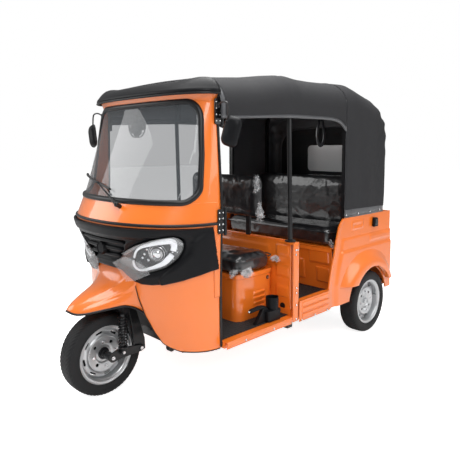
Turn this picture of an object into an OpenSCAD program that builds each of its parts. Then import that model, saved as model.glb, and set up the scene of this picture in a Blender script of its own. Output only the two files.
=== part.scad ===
// Auto rickshaw: a three-wheeled passenger carrier with a steered front wheel, a raised nose, an open cabin and
// a soft canopy over its bows. The front faces -Y, the vehicle's left is +X, and it stands on Z = 0.
// Lengths along Y are drawn from the front axle, and each sub-part's module moves them by `place()`.

/* [Overall] */
// Distance from the front axle to the rear axle
wheelbase = 2034; // [1900:1:2200]
// From the rear axle to the tail
rear_overhang = 386; // [340:1:460]
// Half of the cabin's width at the floor
cabin_half_w = 600; // [560:1:660]
// Height of the body's waistline
waist_z = 950; // [900:1:1000]
// Height of the canopy's middle bow
roof_z = 1945; // [1880:1:2020]

/* [Wheels] */
// Tyre outside radius
tyre_r = 245; // [225:1:260]
// Tyre section width
tyre_w = 135; // [110:1:150]
// Radius of the rim's flange
rim_r = 172; // [150:1:182]
// Distance between the rear wheels' centre planes
rear_track = 1151; // [1080:1:1200]
// Steering axis, leaning back from the vertical
rake = 22; // [15:1:28]

/* [Panels] */
// Thickness of a body panel
panel_t = 5; // [3:0.5:8]
// Thickness of the canopy
canopy_t = 8; // [5:0.5:12]
// Gap between a panel and what lies on it
gap = 0.4; // [0.3:0.1:1]
// Width of the windscreen's rubber seal
seal_w = 28; // [18:1:40]

/* [Seats] */
// Thickness of the driver's cushion
driver_pad_t = 118; // [80:1:140]
// Thickness of the bench's cushion
bench_pad_t = 138; // [90:1:150]
// Half of the bench's width
bench_half_w = 555; // [480:1:570]

/* [Rear hatch] */
// Half of the hatch's width
hatch_half_w = 430; // [340:1:470]
// Lower edge of the hatch
hatch_low_z = 440; // [400:1:500]
// Upper edge of the hatch
hatch_top_z = 830; // [780:1:860]

/* [Fastening] */
// Radius of the towing eye's hole
tow_eye_r = 14; // [10:1:18]
// Radius of the number plate's screw holes
plate_hole_r = 3; // [2.5:0.5:4]
// Distance between the number plate's screw holes
plate_pitch = 150; // [120:1:200]

/* [Hidden] */
$fn = 48;
tail_y = wheelbase + rear_overhang;
mid_y = (tail_y - tyre_r) / 2;
axle_z = tyre_r;
half_track = rear_track / 2;

// Nose: each row is height, half width, y of the side edge, depth of the curve ahead of that edge
curve_p = 2.2;
NOSE = [[310, 570, 445, 300], [500, 582, 430, 330], [700, 585, 425, 335], [1035, 590, 430, 460],
    [1050, 592, 430, 450], [1160, 590, 430, 390], [1240, 585, 430, 352], [1740, 560, 420, 130],
    [1775, 585, 425, 170]];
shield_low_z = 310;
mask_low_z = 700;
mask_top_z = 1032;
trim_z = [1036, 1050];
glass_z = [1172, 1728];
nose_top_z = 1772;
opening_front_y = 425;
floor_z = 345;
deck_z = 392;
partition_y = 1085;
pole_x = 575;
cabin_top_z = 1668;
bench_front_y = 1585;
bench_top_z = 730;
seat_back_y = 2010;
corner_y = 1700;
orange = [0.93, 0.30, 0.07];
black = [0.07, 0.07, 0.08];
grey = [0.20, 0.21, 0.23];
steel = [0.62, 0.63, 0.65];

module place() translate([0, -mid_y, 0]) children();
module box_at(lo, hi) translate(lo) cube(hi - lo);
module both_sides() { children(); mirror([1, 0, 0]) children(); }
// A sheet cut to an outline of [y, z] points, from x to x + t
module side_sheet(outline, x, t) translate([x, 0, 0]) rotate([90, 0, 90]) linear_extrude(t) polygon(outline);
// A sheet cut to an outline of [x, z] points, from y to y + t
module cross_sheet(y, t) translate([0, y + t, 0]) rotate([90, 0, 0]) linear_extrude(t) children();
module rounded(w, d, r) {
    square([w - 2 * r, d], center = true);
    square([w, d - 2 * r], center = true);
    for (x = [-1, 1], y = [-1, 1]) translate([x * (w / 2 - r), y * (d / 2 - r)]) circle(r);
}
module rod(a, b, r) {
    v = b - a;
    translate(a) rotate([0, acos(v[2] / norm(v)), atan2(v[1], v[0])]) cylinder(h = norm(v), r = r);
}
module along_x(x0, x1, y, z, r) translate([x0, y, z]) rotate([0, 90, 0]) cylinder(h = x1 - x0, r = r);

// ---- Curved skins: a grid of points outside, the same grid inside, and an optional rectangular hole
function cell_on(i, j, nu, nv, hole) =
    i >= 0 && j >= 0 && i < nu && j < nv &&
    !(len(hole) == 4 && i >= hole[0] && i < hole[1] && j >= hole[2] && j < hole[3]);
function halves(q) = [[q[0], q[1], q[2]], [q[0], q[2], q[3]]];
module skin(outer, inner, hole = []) {
    nv = len(outer) - 1;
    nu = len(outer[0]) - 1;
    n = (nu + 1) * (nv + 1);
    points = concat([for (row = outer) each row], [for (row = inner) each row]);
    quads = [for (j = [0:nv - 1], i = [0:nu - 1]) if (cell_on(i, j, nu, nv, hole))
        let (a = j * (nu + 1) + i, b = a + 1, c = b + nu + 1, d = c - 1)
        each concat([[a, d, c, b], [a + n, b + n, c + n, d + n]],
            cell_on(i, j - 1, nu, nv, hole) ? [] : [[a, b, b + n, a + n]],
            cell_on(i + 1, j, nu, nv, hole) ? [] : [[b, c, c + n, b + n]],
            cell_on(i, j + 1, nu, nv, hole) ? [] : [[c, d, d + n, c + n]],
            cell_on(i - 1, j, nu, nv, hole) ? [] : [[d, a, a + n, d + n]])];
    polyhedron(points, [for (q = quads) each halves(q)]);
}
function nose_w(z) = lookup(z, [for (r = NOSE) [r[0], r[1]]]);
function nose_y(z) = lookup(z, [for (r = NOSE) [r[0], r[2]]]);
function nose_d(z) = lookup(z, [for (r = NOSE) [r[0], r[3]]]);
// A point of the nose at height z and angle a from straight ahead, moved out by `out`
function nose_point(z, a, out) = [
    sign(a) * (nose_w(z) + out) * pow(abs(sin(a)), 2 / curve_p),
    nose_y(z) - (nose_d(z) + out) * pow(abs(cos(a)), 2 / curve_p), z];
// The angle at which the nose is x wide at height z
function nose_angle(z, x) = asin(pow(min(1, x / nose_w(z)), curve_p / 2));
function nose_rows(cols, out) = [for (c = cols) [for (a = c[1]) nose_point(c[0], a, out)]];
// A patch of the nose: rows of [z, [angles]], from `low` to `high` outside the shell's outer face
module nose_patch(rows, low, high, hole = []) skin(nose_rows(rows, high), nose_rows(rows, low), hole);
function span(a, b, n) = [for (i = [0:n]) a + (b - a) * i / n];

// ---- Frame and floor
rail_x = 300;
rail_z = [262, 305];
steer_r = 22;
head_bore_r = steer_r + 0.08;
fender_stay = [[-5, 118, 610], [5, 126, 695.4]];
head_base = [0, 100, 500];
steer_dir = [0, sin(rake), cos(rake)];
function on_steer(d) = head_base + d * steer_dir;
module steer_rod(d0, d1, r) rod(on_steer(d0), on_steer(d1), r);
head_span = [95, 330];
module chassis_frame() color(black) place() {
    both_sides() box_at([rail_x - 25, 330, rail_z[0]], [rail_x + 25, 2290, rail_z[1]]);
    for (y = [330, 700, 1060, 1600, 2240]) box_at([-rail_x - 25, y, rail_z[0]], [rail_x + 25, y + 50, rail_z[1]]);
    both_sides() box_at([rail_x - 25, 1060, rail_z[0]], [cabin_half_w - 20, 1110, rail_z[1]]);
    both_sides() box_at([rail_x - 25, 1560, rail_z[0]], [cabin_half_w - 90, 1600, rail_z[1]]);
    difference() {
        union() {
            steer_rod(head_span[0], head_span[1], 34);
            box_at([-40, 330, rail_z[0]], [40, 380, 740]);
            box_at([-30, 195, 690], [30, 340, 740]);
            box_at(fender_stay[0], fender_stay[1]);
        }
        steer_rod(0, 500, head_bore_r);
    }
}
module floor_pan() color(grey) place() {
    box_at([-cabin_half_w + 5, opening_front_y + 27, rail_z[1]], [cabin_half_w - 5, partition_y - 15, floor_z]);
    box_at([-cabin_half_w + 5, partition_y - 15, rail_z[1]], [cabin_half_w - 5, bench_front_y + 45, deck_z]);
}
module floor_mat() color(black) place()
    translate([0, (opening_front_y + 700) / 2 + 40, floor_z + gap]) linear_extrude(6) rounded(1040, 210, 25);

// ---- Nose
side_a = 90;
function side_edge(z) = lookup(z, [[glass_z[0], 71.5], [1240, 71.5], [1430, 71], [1620, 66.5], [glass_z[1], 63]]);
function shell_cols(z) = concat(span(-side_a, -side_edge(z), 3), [for (a = span(-side_edge(z), side_edge(z), 26))
    if (abs(a) < side_edge(z) - 0.1) a], span(side_edge(z), side_a, 3));
shell_zs = [706, 800, 900, 1000, 1035, 1050, 1110, 1160, glass_z[0], 1240, 1400, 1560, 1660, glass_z[1], 1740,
    nose_top_z];
glass_rows = search(glass_z, shell_zs);
module nose_shell() color(orange) place() difference() {
    nose_patch([for (z = shell_zs) [z, shell_cols(z)]], -panel_t, 0,
        [3, len(shell_cols(glass_z[0])) - 4, glass_rows[0], glass_rows[1]]);
    box_at([-hood_half_w, -200, 690], [hood_half_w, 300, 760]);
}
hood_half_w = 215;
// Inner edge of a leg shield: half width of the wheel arch at each height
function arch_x(z) = lookup(z, [[shield_low_z, 440], [340, 350], [400, 318], [500, 290], [600, 262], [700, 225]]);
module leg_shields() color(orange) place() {
    zs = [shield_low_z, 340, 370, 400, 450, 500, 550, 600, 650, 700, 705.6];
    nose_patch([for (z = zs) [z, span(nose_angle(z, arch_x(z)), side_a, 14)]], -panel_t, 0);
    nose_patch([for (z = zs) [z, span(-side_a, -nose_angle(z, arch_x(z)), 14)]], -panel_t, 0);
}
well_y = 330 - panel_t - gap;
module wheel_well() color(black) place() {
    box_at([-arch_x(500) + 8, well_y, 320], [arch_x(500) - 8, well_y + panel_t, 688]);
    both_sides() side_sheet([[well_y + 1, 330], [well_y + 1, 680], [180, 680], [165, 560], [195, 430], [235, 345]],
        arch_x(500) - 14, panel_t);
}
// Gap that keeps one curved skin clear of the facets of the one under it
skin_gap = 3;
lamp_out = [skin_gap + 7.3, skin_gap + 16];
disc_r = 33;
module nose_mask_rows(low, high) {
    zs = concat([for (z = [mask_low_z:15:790]) z], [850, 920, 980, mask_top_z]);
    nose_patch([for (z = zs) [z, span(-mask_a(z), mask_a(z), 32)]], low, high);
}
// The mask's lower edge climbs towards the sides
function mask_a(z) = lookup(z, [[mask_low_z, 52], [730, 68], [790, 86], [mask_top_z, 88]]);
module front_mask() color(black) place() difference() {
    nose_mask_rows(skin_gap, skin_gap + 6);
    translate([0, 200, 865]) rotate([90, 0, 0]) cylinder(h = 400, r = disc_r + 1);
}
module front_grille() color(black) place() {
    for (z = [806, 848, 890]) nose_patch([for (h = [z, z + 10, z + 22]) [h, span(-13, 13, 8)]],
        lamp_out[0] - 0.6, lamp_out[1]);
    translate([0, nose_point(865 + disc_r, 0, 0)[1] - gap, 865]) rotate([90, 0, 0]) cylinder(h = lamp_out[1] + 4, r = disc_r);
}
// Half of the headlight's leaf shape: its inner and outer edge at each height
LAMP = [[778, 215, 262], [800, 195, 380], [840, 200, 462], [885, 225, 492], [930, 300, 498], [972, 440, 492]];
function lamp_x(z, k) = lookup(z, [for (r = LAMP) [r[0], r[k]]]);
module headlight(side) nose_patch([for (z = span(LAMP[0][0], LAMP[5][0], 16))
    let (a = nose_angle(z, lamp_x(z, 1)), b = nose_angle(z, lamp_x(z, 2)))
    [z, side > 0 ? span(a, b, 8) : span(-b, -a, 8)]], lamp_out[0], lamp_out[1]);
module headlight_left() color([0.9, 0.92, 0.95]) place() headlight(1);
module headlight_right() color([0.9, 0.92, 0.95]) place() headlight(-1);
module nose_trim() color(black) place()
    nose_patch([for (z = trim_z) [z, span(-89, 89, 32)]], 1, 13);
module windscreen() color([0.6, 0.7, 0.75, 0.35]) place() {
    zs = [glass_z[0] + 0.5, 1240, 1400, 1560, 1660, glass_z[1] - 0.5];
    nose_patch([for (z = zs) [z, span(-side_edge(z) + 0.3, side_edge(z) - 0.3, 26)]], -panel_t, -0.5);
}
// Beside the glass the nose runs mostly backwards, so the seal's width there is little of it sideways
side_share = 0.5;
function seal_a(z, inset) = nose_angle(z, nose_point(z, side_edge(z), 0)[0] - inset * side_share);
function seal_cols(z) = concat([-seal_a(z, -seal_w / 2)], span(-seal_a(z, seal_w / 2), seal_a(z, seal_w / 2), 24),
    [seal_a(z, -seal_w / 2)]);
module windscreen_seal() color(black) place() {
    h = seal_w / 2;
    zs = [glass_z[0] - h, glass_z[0] + h, 1240, 1400, 1560, 1660, glass_z[1] - h, 1740];
    nose_patch([for (z = zs) [z, seal_cols(z)]], 2.2, 11, [1, 25, 1, 6]);
}

// ---- Roof visor: a low black peak over the windscreen
visor_y = 426;
VISOR = [[nose_top_z + gap, 600, 198], [1800, 602, 200], [1830, 588, 176], [1852, 560, 126], [1862, 520, 56]];
function visor_row(r, out) = [for (a = span(-88, 88, 28)) [
    sign(a) * (r[1] + out) * pow(abs(sin(a)), 2 / 2.6),
    visor_y - (r[2] + out) * pow(abs(cos(a)), 2 / 2.6), r[0] + (r[0] > 1845 ? out : 0)]];
module roof_visor() color(black) place()
    skin([for (r = VISOR) visor_row(r, 0)], [for (r = VISOR) visor_row(r, -20)]);

// ---- Front fender: each row is y, half width, edge height, ridge height
FENDER = [[-200, 22, 540, 552], [-165, 68, 533, 580], [-120, 98, 538, 606], [-75, 122, 546, 628],
    [0, 155, 553, 658], [45, 172, 556, 672], [85, 192, 548, 690], [135, 208, 520, 708]];
function fender_row(r, out) = [for (t = span(-1, 1, 12)) [
    t * (r[1] + out), r[0] - out * 0.5, r[2] + (r[3] + out - r[2]) * (1 - pow(abs(t), 1.7))]];
module front_fender() color(orange) place()
    skin([for (r = FENDER) fender_row(r, 0)], [for (r = FENDER) fender_row(r, -panel_t)]);

// ---- Dashboard and driver's place
dash_z = [1070, 1120];
module dashboard() color(black) place() difference() {
    translate([0, 0, dash_z[0]]) linear_extrude(dash_z[1] - dash_z[0]) polygon(concat(
        [for (a = span(-84, 84, 24)) let (p = nose_point(dash_z[1], a, -panel_t - 1.4)) [p[0], p[1]]],
        [[560, 405], [-560, 405]]));
    box_at([-180, 330, dash_z[0] - 1], [180, 420, dash_z[1] + 1]);
}
box_top_z = 660;
box_y = [710, partition_y - 16];
module driver_box() color(orange) place()
    translate([0, (box_y[0] + box_y[1]) / 2, floor_z]) linear_extrude(box_top_z - floor_z)
        rounded(900, box_y[1] - box_y[0] - 1, 60);
module driver_seat() color(black) place()
    translate([0, (680 + 1045) / 2, box_top_z + gap]) linear_extrude(driver_pad_t) rounded(960, 365, 70);
module driver_backrest() color(black) place() {
    cross_sheet(1012, 66) translate([0, 1135]) rounded(740, 330, 70);
    both_sides() box_at([180, 1078, 850 + gap], [220, 1090, 1200]);
}
module partition() color(orange) place() {
    difference() {
        box_at([-cabin_half_w, partition_y - 14, deck_z + gap], [cabin_half_w, partition_y + 14, 850]);
        both_sides() translate([520, partition_y + 15, 450]) rotate([90, 0, 0]) cylinder(h = 40, r = 30);
    }
    both_sides() box_at([cabin_half_w + gap, 1055, floor_z], [cabin_half_w + 30, 1115, 845]);
    both_sides() box_at([cabin_half_w - 10, 1060, 700], [cabin_half_w + 5, 1110, 740]);
}
module cabin_poles() color(black) place() both_sides() {
    rod([pole_x, partition_y, 850 + gap], [pole_x, 1060, cabin_top_z - 1], 15);
    translate([pole_x, partition_y, 850 + gap]) cylinder(h = 8, r = 36);
}

// ---- Rear body
side_t = 22;
arch_r = 288;
module rear_sides() color(orange) place() both_sides() difference() {
    side_sheet([[1560, 310], [1480, 330], [1480, 457], [1515, 600], [1545, 680], [1575, 800], [1600, 880],
        [1650, waist_z - 4], [2395, waist_z - 4], [2395, 330], [2330, 300]], cabin_half_w, side_t);
    along_x(cabin_half_w - 10, 700, wheelbase, axle_z, arch_r);
}
flare_w = 56;
flare_r = 430;
flare_y = wheelbase - 34;
module wheel_flares() color(orange) place() both_sides()
    translate([cabin_half_w + side_t + gap, 0, 0]) rotate([90, 0, 90]) linear_extrude(flare_w) difference() {
        translate([flare_y, 250]) circle(flare_r, $fn = 96);
        translate([wheelbase, axle_z]) circle(arch_r + 4, $fn = 96);
        polygon([[flare_y - 500, -300], [flare_y - 500, 430], [wheelbase, 430], [wheelbase, 394],
            [flare_y + 500, 394], [flare_y + 500, -300]]);
    }
module rocker_panels() color(orange) place() both_sides() {
    box_at([cabin_half_w - 4.6, 1118, 306], [cabin_half_w + 40, 1480 - gap, 448]);
    box_at([cabin_half_w - 4.6, 447, 308], [cabin_half_w + 28, 1052, floor_z]);
}
tail_t = 24;
tail_in = tail_y - 52;
hinge_y = tail_in + tail_t + 12;
hinge_z = hatch_top_z + 6;
hinge_pin_r = 4;
hinge_len = 50;
hinge_xs = [-300, 250];
module tail_panel() color(orange) place() difference() {
    union() {
        box_at([-cabin_half_w + gap, tail_in, 310], [cabin_half_w - gap, tail_in + tail_t, waist_z - 4]);
        box_at([-560, tail_in + tail_t, 300], [560, tail_y, 352]);
        for (x = hinge_xs) {
            along_x(x - 14, x + hinge_len + 14, hinge_y, hinge_z, hinge_pin_r);
            for (lug = [x - 14, x + hinge_len + gap])
                box_at([lug, tail_in + tail_t, hinge_z - 6], [lug + 14 - gap, hinge_y + 8, hinge_z + 9]);
        }
    }
    box_at([-hatch_half_w - 6, tail_in - 1, hatch_low_z - 6],
        [hatch_half_w + 6, tail_in + tail_t + 0.2, hatch_top_z]);
    for (x = [-1, 1]) translate([x * plate_pitch / 2, tail_y + 1, 326]) rotate([90, 0, 0])
        cylinder(h = 24, r = plate_hole_r);
    both_sides() translate([520, tail_in + tail_t + 1, 700]) rotate([90, 0, 0]) cylinder(h = tail_t + 2, r = 20);
}
module tail_lamps() color([0.75, 0.05, 0.03]) place() both_sides() {
    cross_sheet(tail_in + tail_t + gap, 20) translate([520, 700]) rounded(110, 230, 20);
    translate([520, tail_in + tail_t + 1, 700]) rotate([90, 0, 0]) cylinder(h = tail_t - 4, r = 18);
}
module rear_hatch() color(orange) place() difference() {
    union() {
        box_at([-hatch_half_w, tail_in + 4, hatch_low_z],
            [hatch_half_w, tail_in + tail_t, hatch_top_z - 10]);
        for (x = hinge_xs) {
            along_x(x, x + hinge_len, hinge_y, hinge_z, 9);
            side_sheet([[tail_in + tail_t - 3, hatch_top_z - 40], [hinge_y, hatch_top_z - 40],
                [hinge_y, hinge_z], [tail_in + tail_t + 1, hinge_z], [tail_in + tail_t + 1, hatch_top_z - 12],
                [tail_in + tail_t - 3, hatch_top_z - 12]], x, hinge_len);
        }
    }
    for (x = hinge_xs) along_x(x - 1, x + hinge_len + 1, hinge_y, hinge_z, hinge_pin_r + 0.06);
}

// ---- Bench
bench_out = cabin_half_w - gap;
module bench_base() color(orange) place() {
    side_sheet([[1640, deck_z + gap], [1668, deck_z + gap], [1650, bench_top_z - 12], [1590, bench_top_z - 12],
        [1590, bench_top_z - 40], [1625, bench_top_z - 40]], -bench_out, 2 * bench_out);
    box_at([-bench_out, 1600, bench_top_z - 12], [bench_out, 2130, bench_top_z]);
    both_sides() box_at([bench_out - 12, 1660, 680], [bench_out, 2130, bench_top_z - 12]);
}
module bench_cushion() color(black) place()
    translate([0, (bench_front_y + 2000) / 2, bench_top_z + gap]) linear_extrude(bench_pad_t)
        rounded(2 * bench_half_w, 2000 - bench_front_y, 60);
module bench_backrest() color(black) place()
    cross_sheet(seat_back_y, 100) translate([0, (bench_top_z + gap + 1265) / 2])
        rounded(2 * bench_half_w, 1265 - bench_top_z - gap, 60);

// ---- Engine and rear running gear
module engine_block() color(grey) place() box_at([-210, 1790, 240], [210, 2190, 560]);
hub_x = half_track - 78;
module rear_suspension() color(black) place() {
    both_sides() {
        rod([400, 1640, 284], [hub_x - 40, wheelbase, axle_z], 26);
        along_x(rail_x + 25 + gap, 440, 1640, 284, 22);
        along_x(230, hub_x - 24, wheelbase, axle_z, 12);
        along_x(hub_x - 70, hub_x - 10, wheelbase, axle_z, 52);
        along_x(hub_x - 10, half_track + 34, wheelbase, axle_z, 18);
        rod([420, 2080, 250], [400, 2120, 640], 34);
    }
    box_at([-bench_out, 2090, 640], [bench_out, 2150, 676]);
    both_sides() box_at([210.4, 1960, rail_z[1]], [324, 2010, rail_z[1] + 35]);
}

// ---- Canopy: crown heights over the bows, side walls, and the soft rear
CROWN = [[420, 1868], [750, 1898], [1100, roof_z], [1500, roof_z - 8], [1830, roof_z + 8]];
function crown(y) = lookup(y, CROWN);
roof_half_w = 604;
shoulder_r = 200;
function arch_pts(top, half_w, low, r) = concat([[-half_w, low]],
    [for (a = span(180, 90, 8)) [-half_w + r + r * cos(a), top - r * 0.86 + r * 0.86 * sin(a)]],
    [for (a = span(90, 0, 8)) [half_w - r + r * cos(a), top - r * 0.86 + r * 0.86 * sin(a)]],
    [[half_w, low]]);
function arch_row(y, top, half_w, low, r) = [for (p = arch_pts(top, half_w, low, r)) [p[0], y, p[1]]];
function roof_low(y) = lookup(y, [[420, 1640], [1060, 1668], [1690, 1660]]);
ROOF_Y = [428, 600, 750, 925, 1100, 1300, 1500, 1697];
module canopy_roof() color(grey) place()
    skin([for (y = ROOF_Y) arch_row(y, crown(y), roof_half_w, roof_low(y), shoulder_r)],
        [for (y = ROOF_Y) arch_row(y, crown(y) - canopy_t, roof_half_w - canopy_t, roof_low(y), shoulder_r)]);
// Each row of the rear is y, crown height and half width
REAR = [[corner_y, crown(1700), 604], [1830, crown(1830), 610], [1950, 1928, 610], [2080, 1892, 608],
    [2200, 1858, 604], [2270, 1800, 598], [2320, 1728, 590], [2352, 1640, 578]];
function rear_row(r, out) = arch_row(r[0], r[1] + out, r[2] + out, waist_z, shoulder_r);
back_y = REAR[len(REAR) - 1][0];
module canopy_rear() color(grey) place() {
    skin([for (r = REAR) rear_row(r, 0)], [for (r = REAR) rear_row(r, -canopy_t)]);
    cross_sheet(back_y + 0.3, canopy_t) difference() {
        polygon(arch_pts(1640, 578, waist_z, shoulder_r));
        translate([0, 1375]) rounded(420, 250, 40);
    }
}
module rear_window() color([0.8, 0.85, 0.85, 0.5]) place()
    cross_sheet(back_y + 2, 4) translate([0, 1375]) rounded(419, 249, 40);
// A bow's crown lies this far under the cloth, which slopes over its width
bow_drop = 3;
module bow(y, top, half_w, low) cross_sheet(y - 12, 24) difference() {
    polygon(arch_pts(top - canopy_t - bow_drop, half_w - canopy_t - gap, low, shoulder_r));
    polygon(arch_pts(top - canopy_t - 24, half_w - canopy_t - 24, low - 1, shoulder_r - 22));
}
module canopy_frame() color(black) place() {
    for (y = [1090, 1440]) bow(y, crown(y), roof_half_w, cabin_top_z);
    bow(436, crown(436), roof_half_w, 1660);
    bow(1712, crown(1712), roof_half_w, bench_top_z + gap);
    bow(2190, 1858, 600, bench_top_z + 150);
    both_sides() {
        box_at([pole_x - 12, 424, cabin_top_z], [pole_x + 12, 1724, cabin_top_z + 24]);
        box_at([pole_x - 12, 1700, bench_top_z + 150], [pole_x + 12, 2300, bench_top_z + 174]);
    }
}

// ---- Small fittings
mirror_at = [700, 392, 1560];
module mirrors() color(black) place() both_sides() {
    translate(mirror_at) rotate([90, 0, 14]) linear_extrude(26) rounded(112, 165, 38);
    rod([602, 398, 1716], [690, 380, 1700], 6);
    rod([690, 380, 1703], [700, 382, 1600], 6);
}
function on_nose(z, x, out) = nose_point(z, sign(x) * nose_angle(z, abs(x)), out);
BLADE = [[34, 1222], [-110, 1250], [-270, 1273], [-430, 1292]];
module wiper() color(black) place() {
    rod(on_nose(1136, 170, 5.5), on_nose(1136, 170, 36), 10);
    rod(on_nose(1136, 170, 31), on_nose(1250, -110, 21), 5);
    for (k = [0:2]) rod(on_nose(BLADE[k][1], BLADE[k][0], 19), on_nose(BLADE[k + 1][1], BLADE[k + 1][0], 19), 4.5);
    for (b = BLADE) translate(on_nose(b[1], b[0], 19)) sphere(5.2);
}
module cabin_fan() color(black) place() translate([-300, 0, 0]) {
    translate([0, 500, 1690]) cylinder(h = 150, r = 9);
    box_at([-20, 448 + gap, 1838], [20, 508, 1855]);
    translate([0, 470, 1620]) rotate([-90, 0, 0]) difference() {
        cylinder(h = 70, r = 78);
        translate([0, 0, -1]) cylinder(h = 40, r = 70);
    }
}
module parking_brake() color(black) place() {
    difference() {
        box_at([505, 850, floor_z + gap], [590, 980, 500]);
        box_at([515, 860, 430], [580, 970, 501]);
    }
    rod([545, 880, 460], [545, 715, 452], 14);
}
module side_fittings() color(black) place() both_sides() {
    box_at([592.6, 394, 1056], [606, 430, 1125]);
    box_at([565.6, 384, 1640], [600, 420, 1736]);
    translate([cabin_half_w + side_t + gap, 2124, 876]) rotate([0, 90, 0]) cylinder(h = 14, r = 48);
    difference() {
        box_at([rail_x - 15, 262, 258], [rail_x + 15, 330 - gap, 302]);
        along_x(rail_x - 40, rail_x + 40, 290, 280, tow_eye_r);
    }
}

// ---- Steering
fork_x = 98;
link_pivot = [200, 250];
module front_fork() color(black) place() {
    steer_rod(10, 445, steer_r);
    steer_rod(30, 80, 40);
    box_at([-fork_x - 14, 62, 512], [fork_x + 14, 160, 540]);
    both_sides() difference() {
        side_sheet([[62, 512], [160, 540], [235, 300], [238, 232], [185, 222], [150, 300], [80, 500], [62, 505]],
            fork_x, 14);
        along_x(fork_x - 5, fork_x + 20, link_pivot[0], link_pivot[1], 9);
    }
    both_sides() box_at([fork_x + 14, 62, 500], [fork_x + 52, 100, 540]);
}
bar_at = on_steer(480);
grip_from = [160, 50, 10];
grip_run = [170, 60, -16];
module handlebar() color(black) place() {
    steer_rod(445 + gap, 480, 20);
    translate(bar_at - [26, 20, 20]) cube([52, 60, 40]);
    both_sides() {
        rod(bar_at + [12, 22, 1], bar_at + grip_from, 12);
        translate(bar_at + grip_from) sphere(12.5);
        rod(bar_at + grip_from, bar_at + grip_from + grip_run, 12);
        rod(bar_at + grip_from + 0.3 * grip_run, bar_at + grip_from + 1.03 * grip_run, 18);
    }
}
module front_links() color(black) place() {
    both_sides() {
        difference() {
            side_sheet([[-22, 232], [0, 218], [60, 226], [210, 230], [222, 252], [208, 270], [60, 288], [0, 274],
                [-22, 260]], fork_x + 15, 14);
        }
        along_x(fork_x + 0.4, fork_x + 15, link_pivot[0], link_pivot[1], 8.9);
        rod([fork_x + 42, 60, 272], [fork_x + 36, 66, 499], 13);
        rod([fork_x + 41, 60, 310], [fork_x + 37, 65, 470], 27);
        along_x(fork_x + 28, fork_x + 50, 58, 270, 12);
        along_x(72, fork_x + 16, 0, axle_z, 30);
    }
    along_x(-fork_x - 24, fork_x + 24, 0, axle_z, 10);
}

// ---- Wheels
module tyre_solid() rotate([0, 90, 0]) rotate_extrude($fn = 96) polygon([
    [rim_r - 6, -tyre_w * 0.40], [rim_r + 14, -tyre_w * 0.49], [rim_r + 40, -tyre_w * 0.5],
    [tyre_r - 14, -tyre_w * 0.46], [tyre_r - 3, -tyre_w * 0.36], [tyre_r, -tyre_w * 0.18],
    [tyre_r, tyre_w * 0.18], [tyre_r - 3, tyre_w * 0.36], [tyre_r - 14, tyre_w * 0.46],
    [rim_r + 40, tyre_w * 0.5], [rim_r + 14, tyre_w * 0.49], [rim_r - 6, tyre_w * 0.40]]);
// A wheel centre whose dish faces +X; its hub turns on an axle of radius bore_r
module rim_solid(bore_r, hub_half, dish) rotate([0, 90, 0]) difference() {
    rotate_extrude($fn = 96) polygon([[bore_r, -hub_half], [46, -hub_half], [46, dish - 6], [120, dish + 8],
        [rim_r - 18, dish - 12], [rim_r - 18, -tyre_w * 0.36], [rim_r - 6.4, -tyre_w * 0.40],
        [rim_r - 6.4, tyre_w * 0.40], [rim_r - 14, tyre_w * 0.40], [rim_r - 14, dish - 2], [120, dish + 16],
        [46, dish + 4], [46, hub_half], [bore_r, hub_half]]);
    for (k = [0:7]) rotate([0, 0, k * 45]) translate([126, 0, dish - 20]) cylinder(h = 50, r = 15);
}
module front_tyre() color(black) place() translate([0, 0, axle_z]) tyre_solid();
module front_rim() color(steel) place() translate([0, 0, axle_z]) rim_solid(10.05, 71, 10);
module at_rear(side) translate([side * half_track, wheelbase, axle_z]) rotate([0, 0, side < 0 ? 180 : 0]) children();
module rear_tyre_left() color(black) place() at_rear(1) tyre_solid();
module rear_tyre_right() color(black) place() at_rear(-1) tyre_solid();
module rear_rim_left() color(steel) place() at_rear(1) rim_solid(18.05, 60, 12);
module rear_rim_right() color(steel) place() at_rear(-1) rim_solid(18.05, 60, 12);

chassis_frame();
floor_pan();
floor_mat();
nose_shell();
leg_shields();
wheel_well();
front_mask();
front_grille();
headlight_left();
headlight_right();
nose_trim();
windscreen();
windscreen_seal();
roof_visor();
front_fender();
dashboard();
driver_box();
driver_seat();
driver_backrest();
partition();
cabin_poles();
rear_sides();
wheel_flares();
rocker_panels();
tail_panel();
tail_lamps();
rear_hatch();
bench_base();
bench_cushion();
bench_backrest();
engine_block();
rear_suspension();
canopy_frame();
canopy_roof();
canopy_rear();
rear_window();
mirrors();
wiper();
cabin_fan();
parking_brake();
side_fittings();
front_fork();
handlebar();
front_links();
front_tyre();
front_rim();
rear_tyre_left();
rear_rim_left();
rear_tyre_right();
rear_rim_right();
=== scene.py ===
# %% [markdown]
# # An auto rickshaw, finished piece by piece
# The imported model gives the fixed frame: every part's real place and size, and the bodies that move. This
# script loads it, gives each part its finish, and puts detailed surfaces where the construction solids are
# plain. All lengths are metres. The front faces -Y, the vehicle's left is +X, and the ground is at Z = 0.

# %% Load the frame
import math

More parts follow.
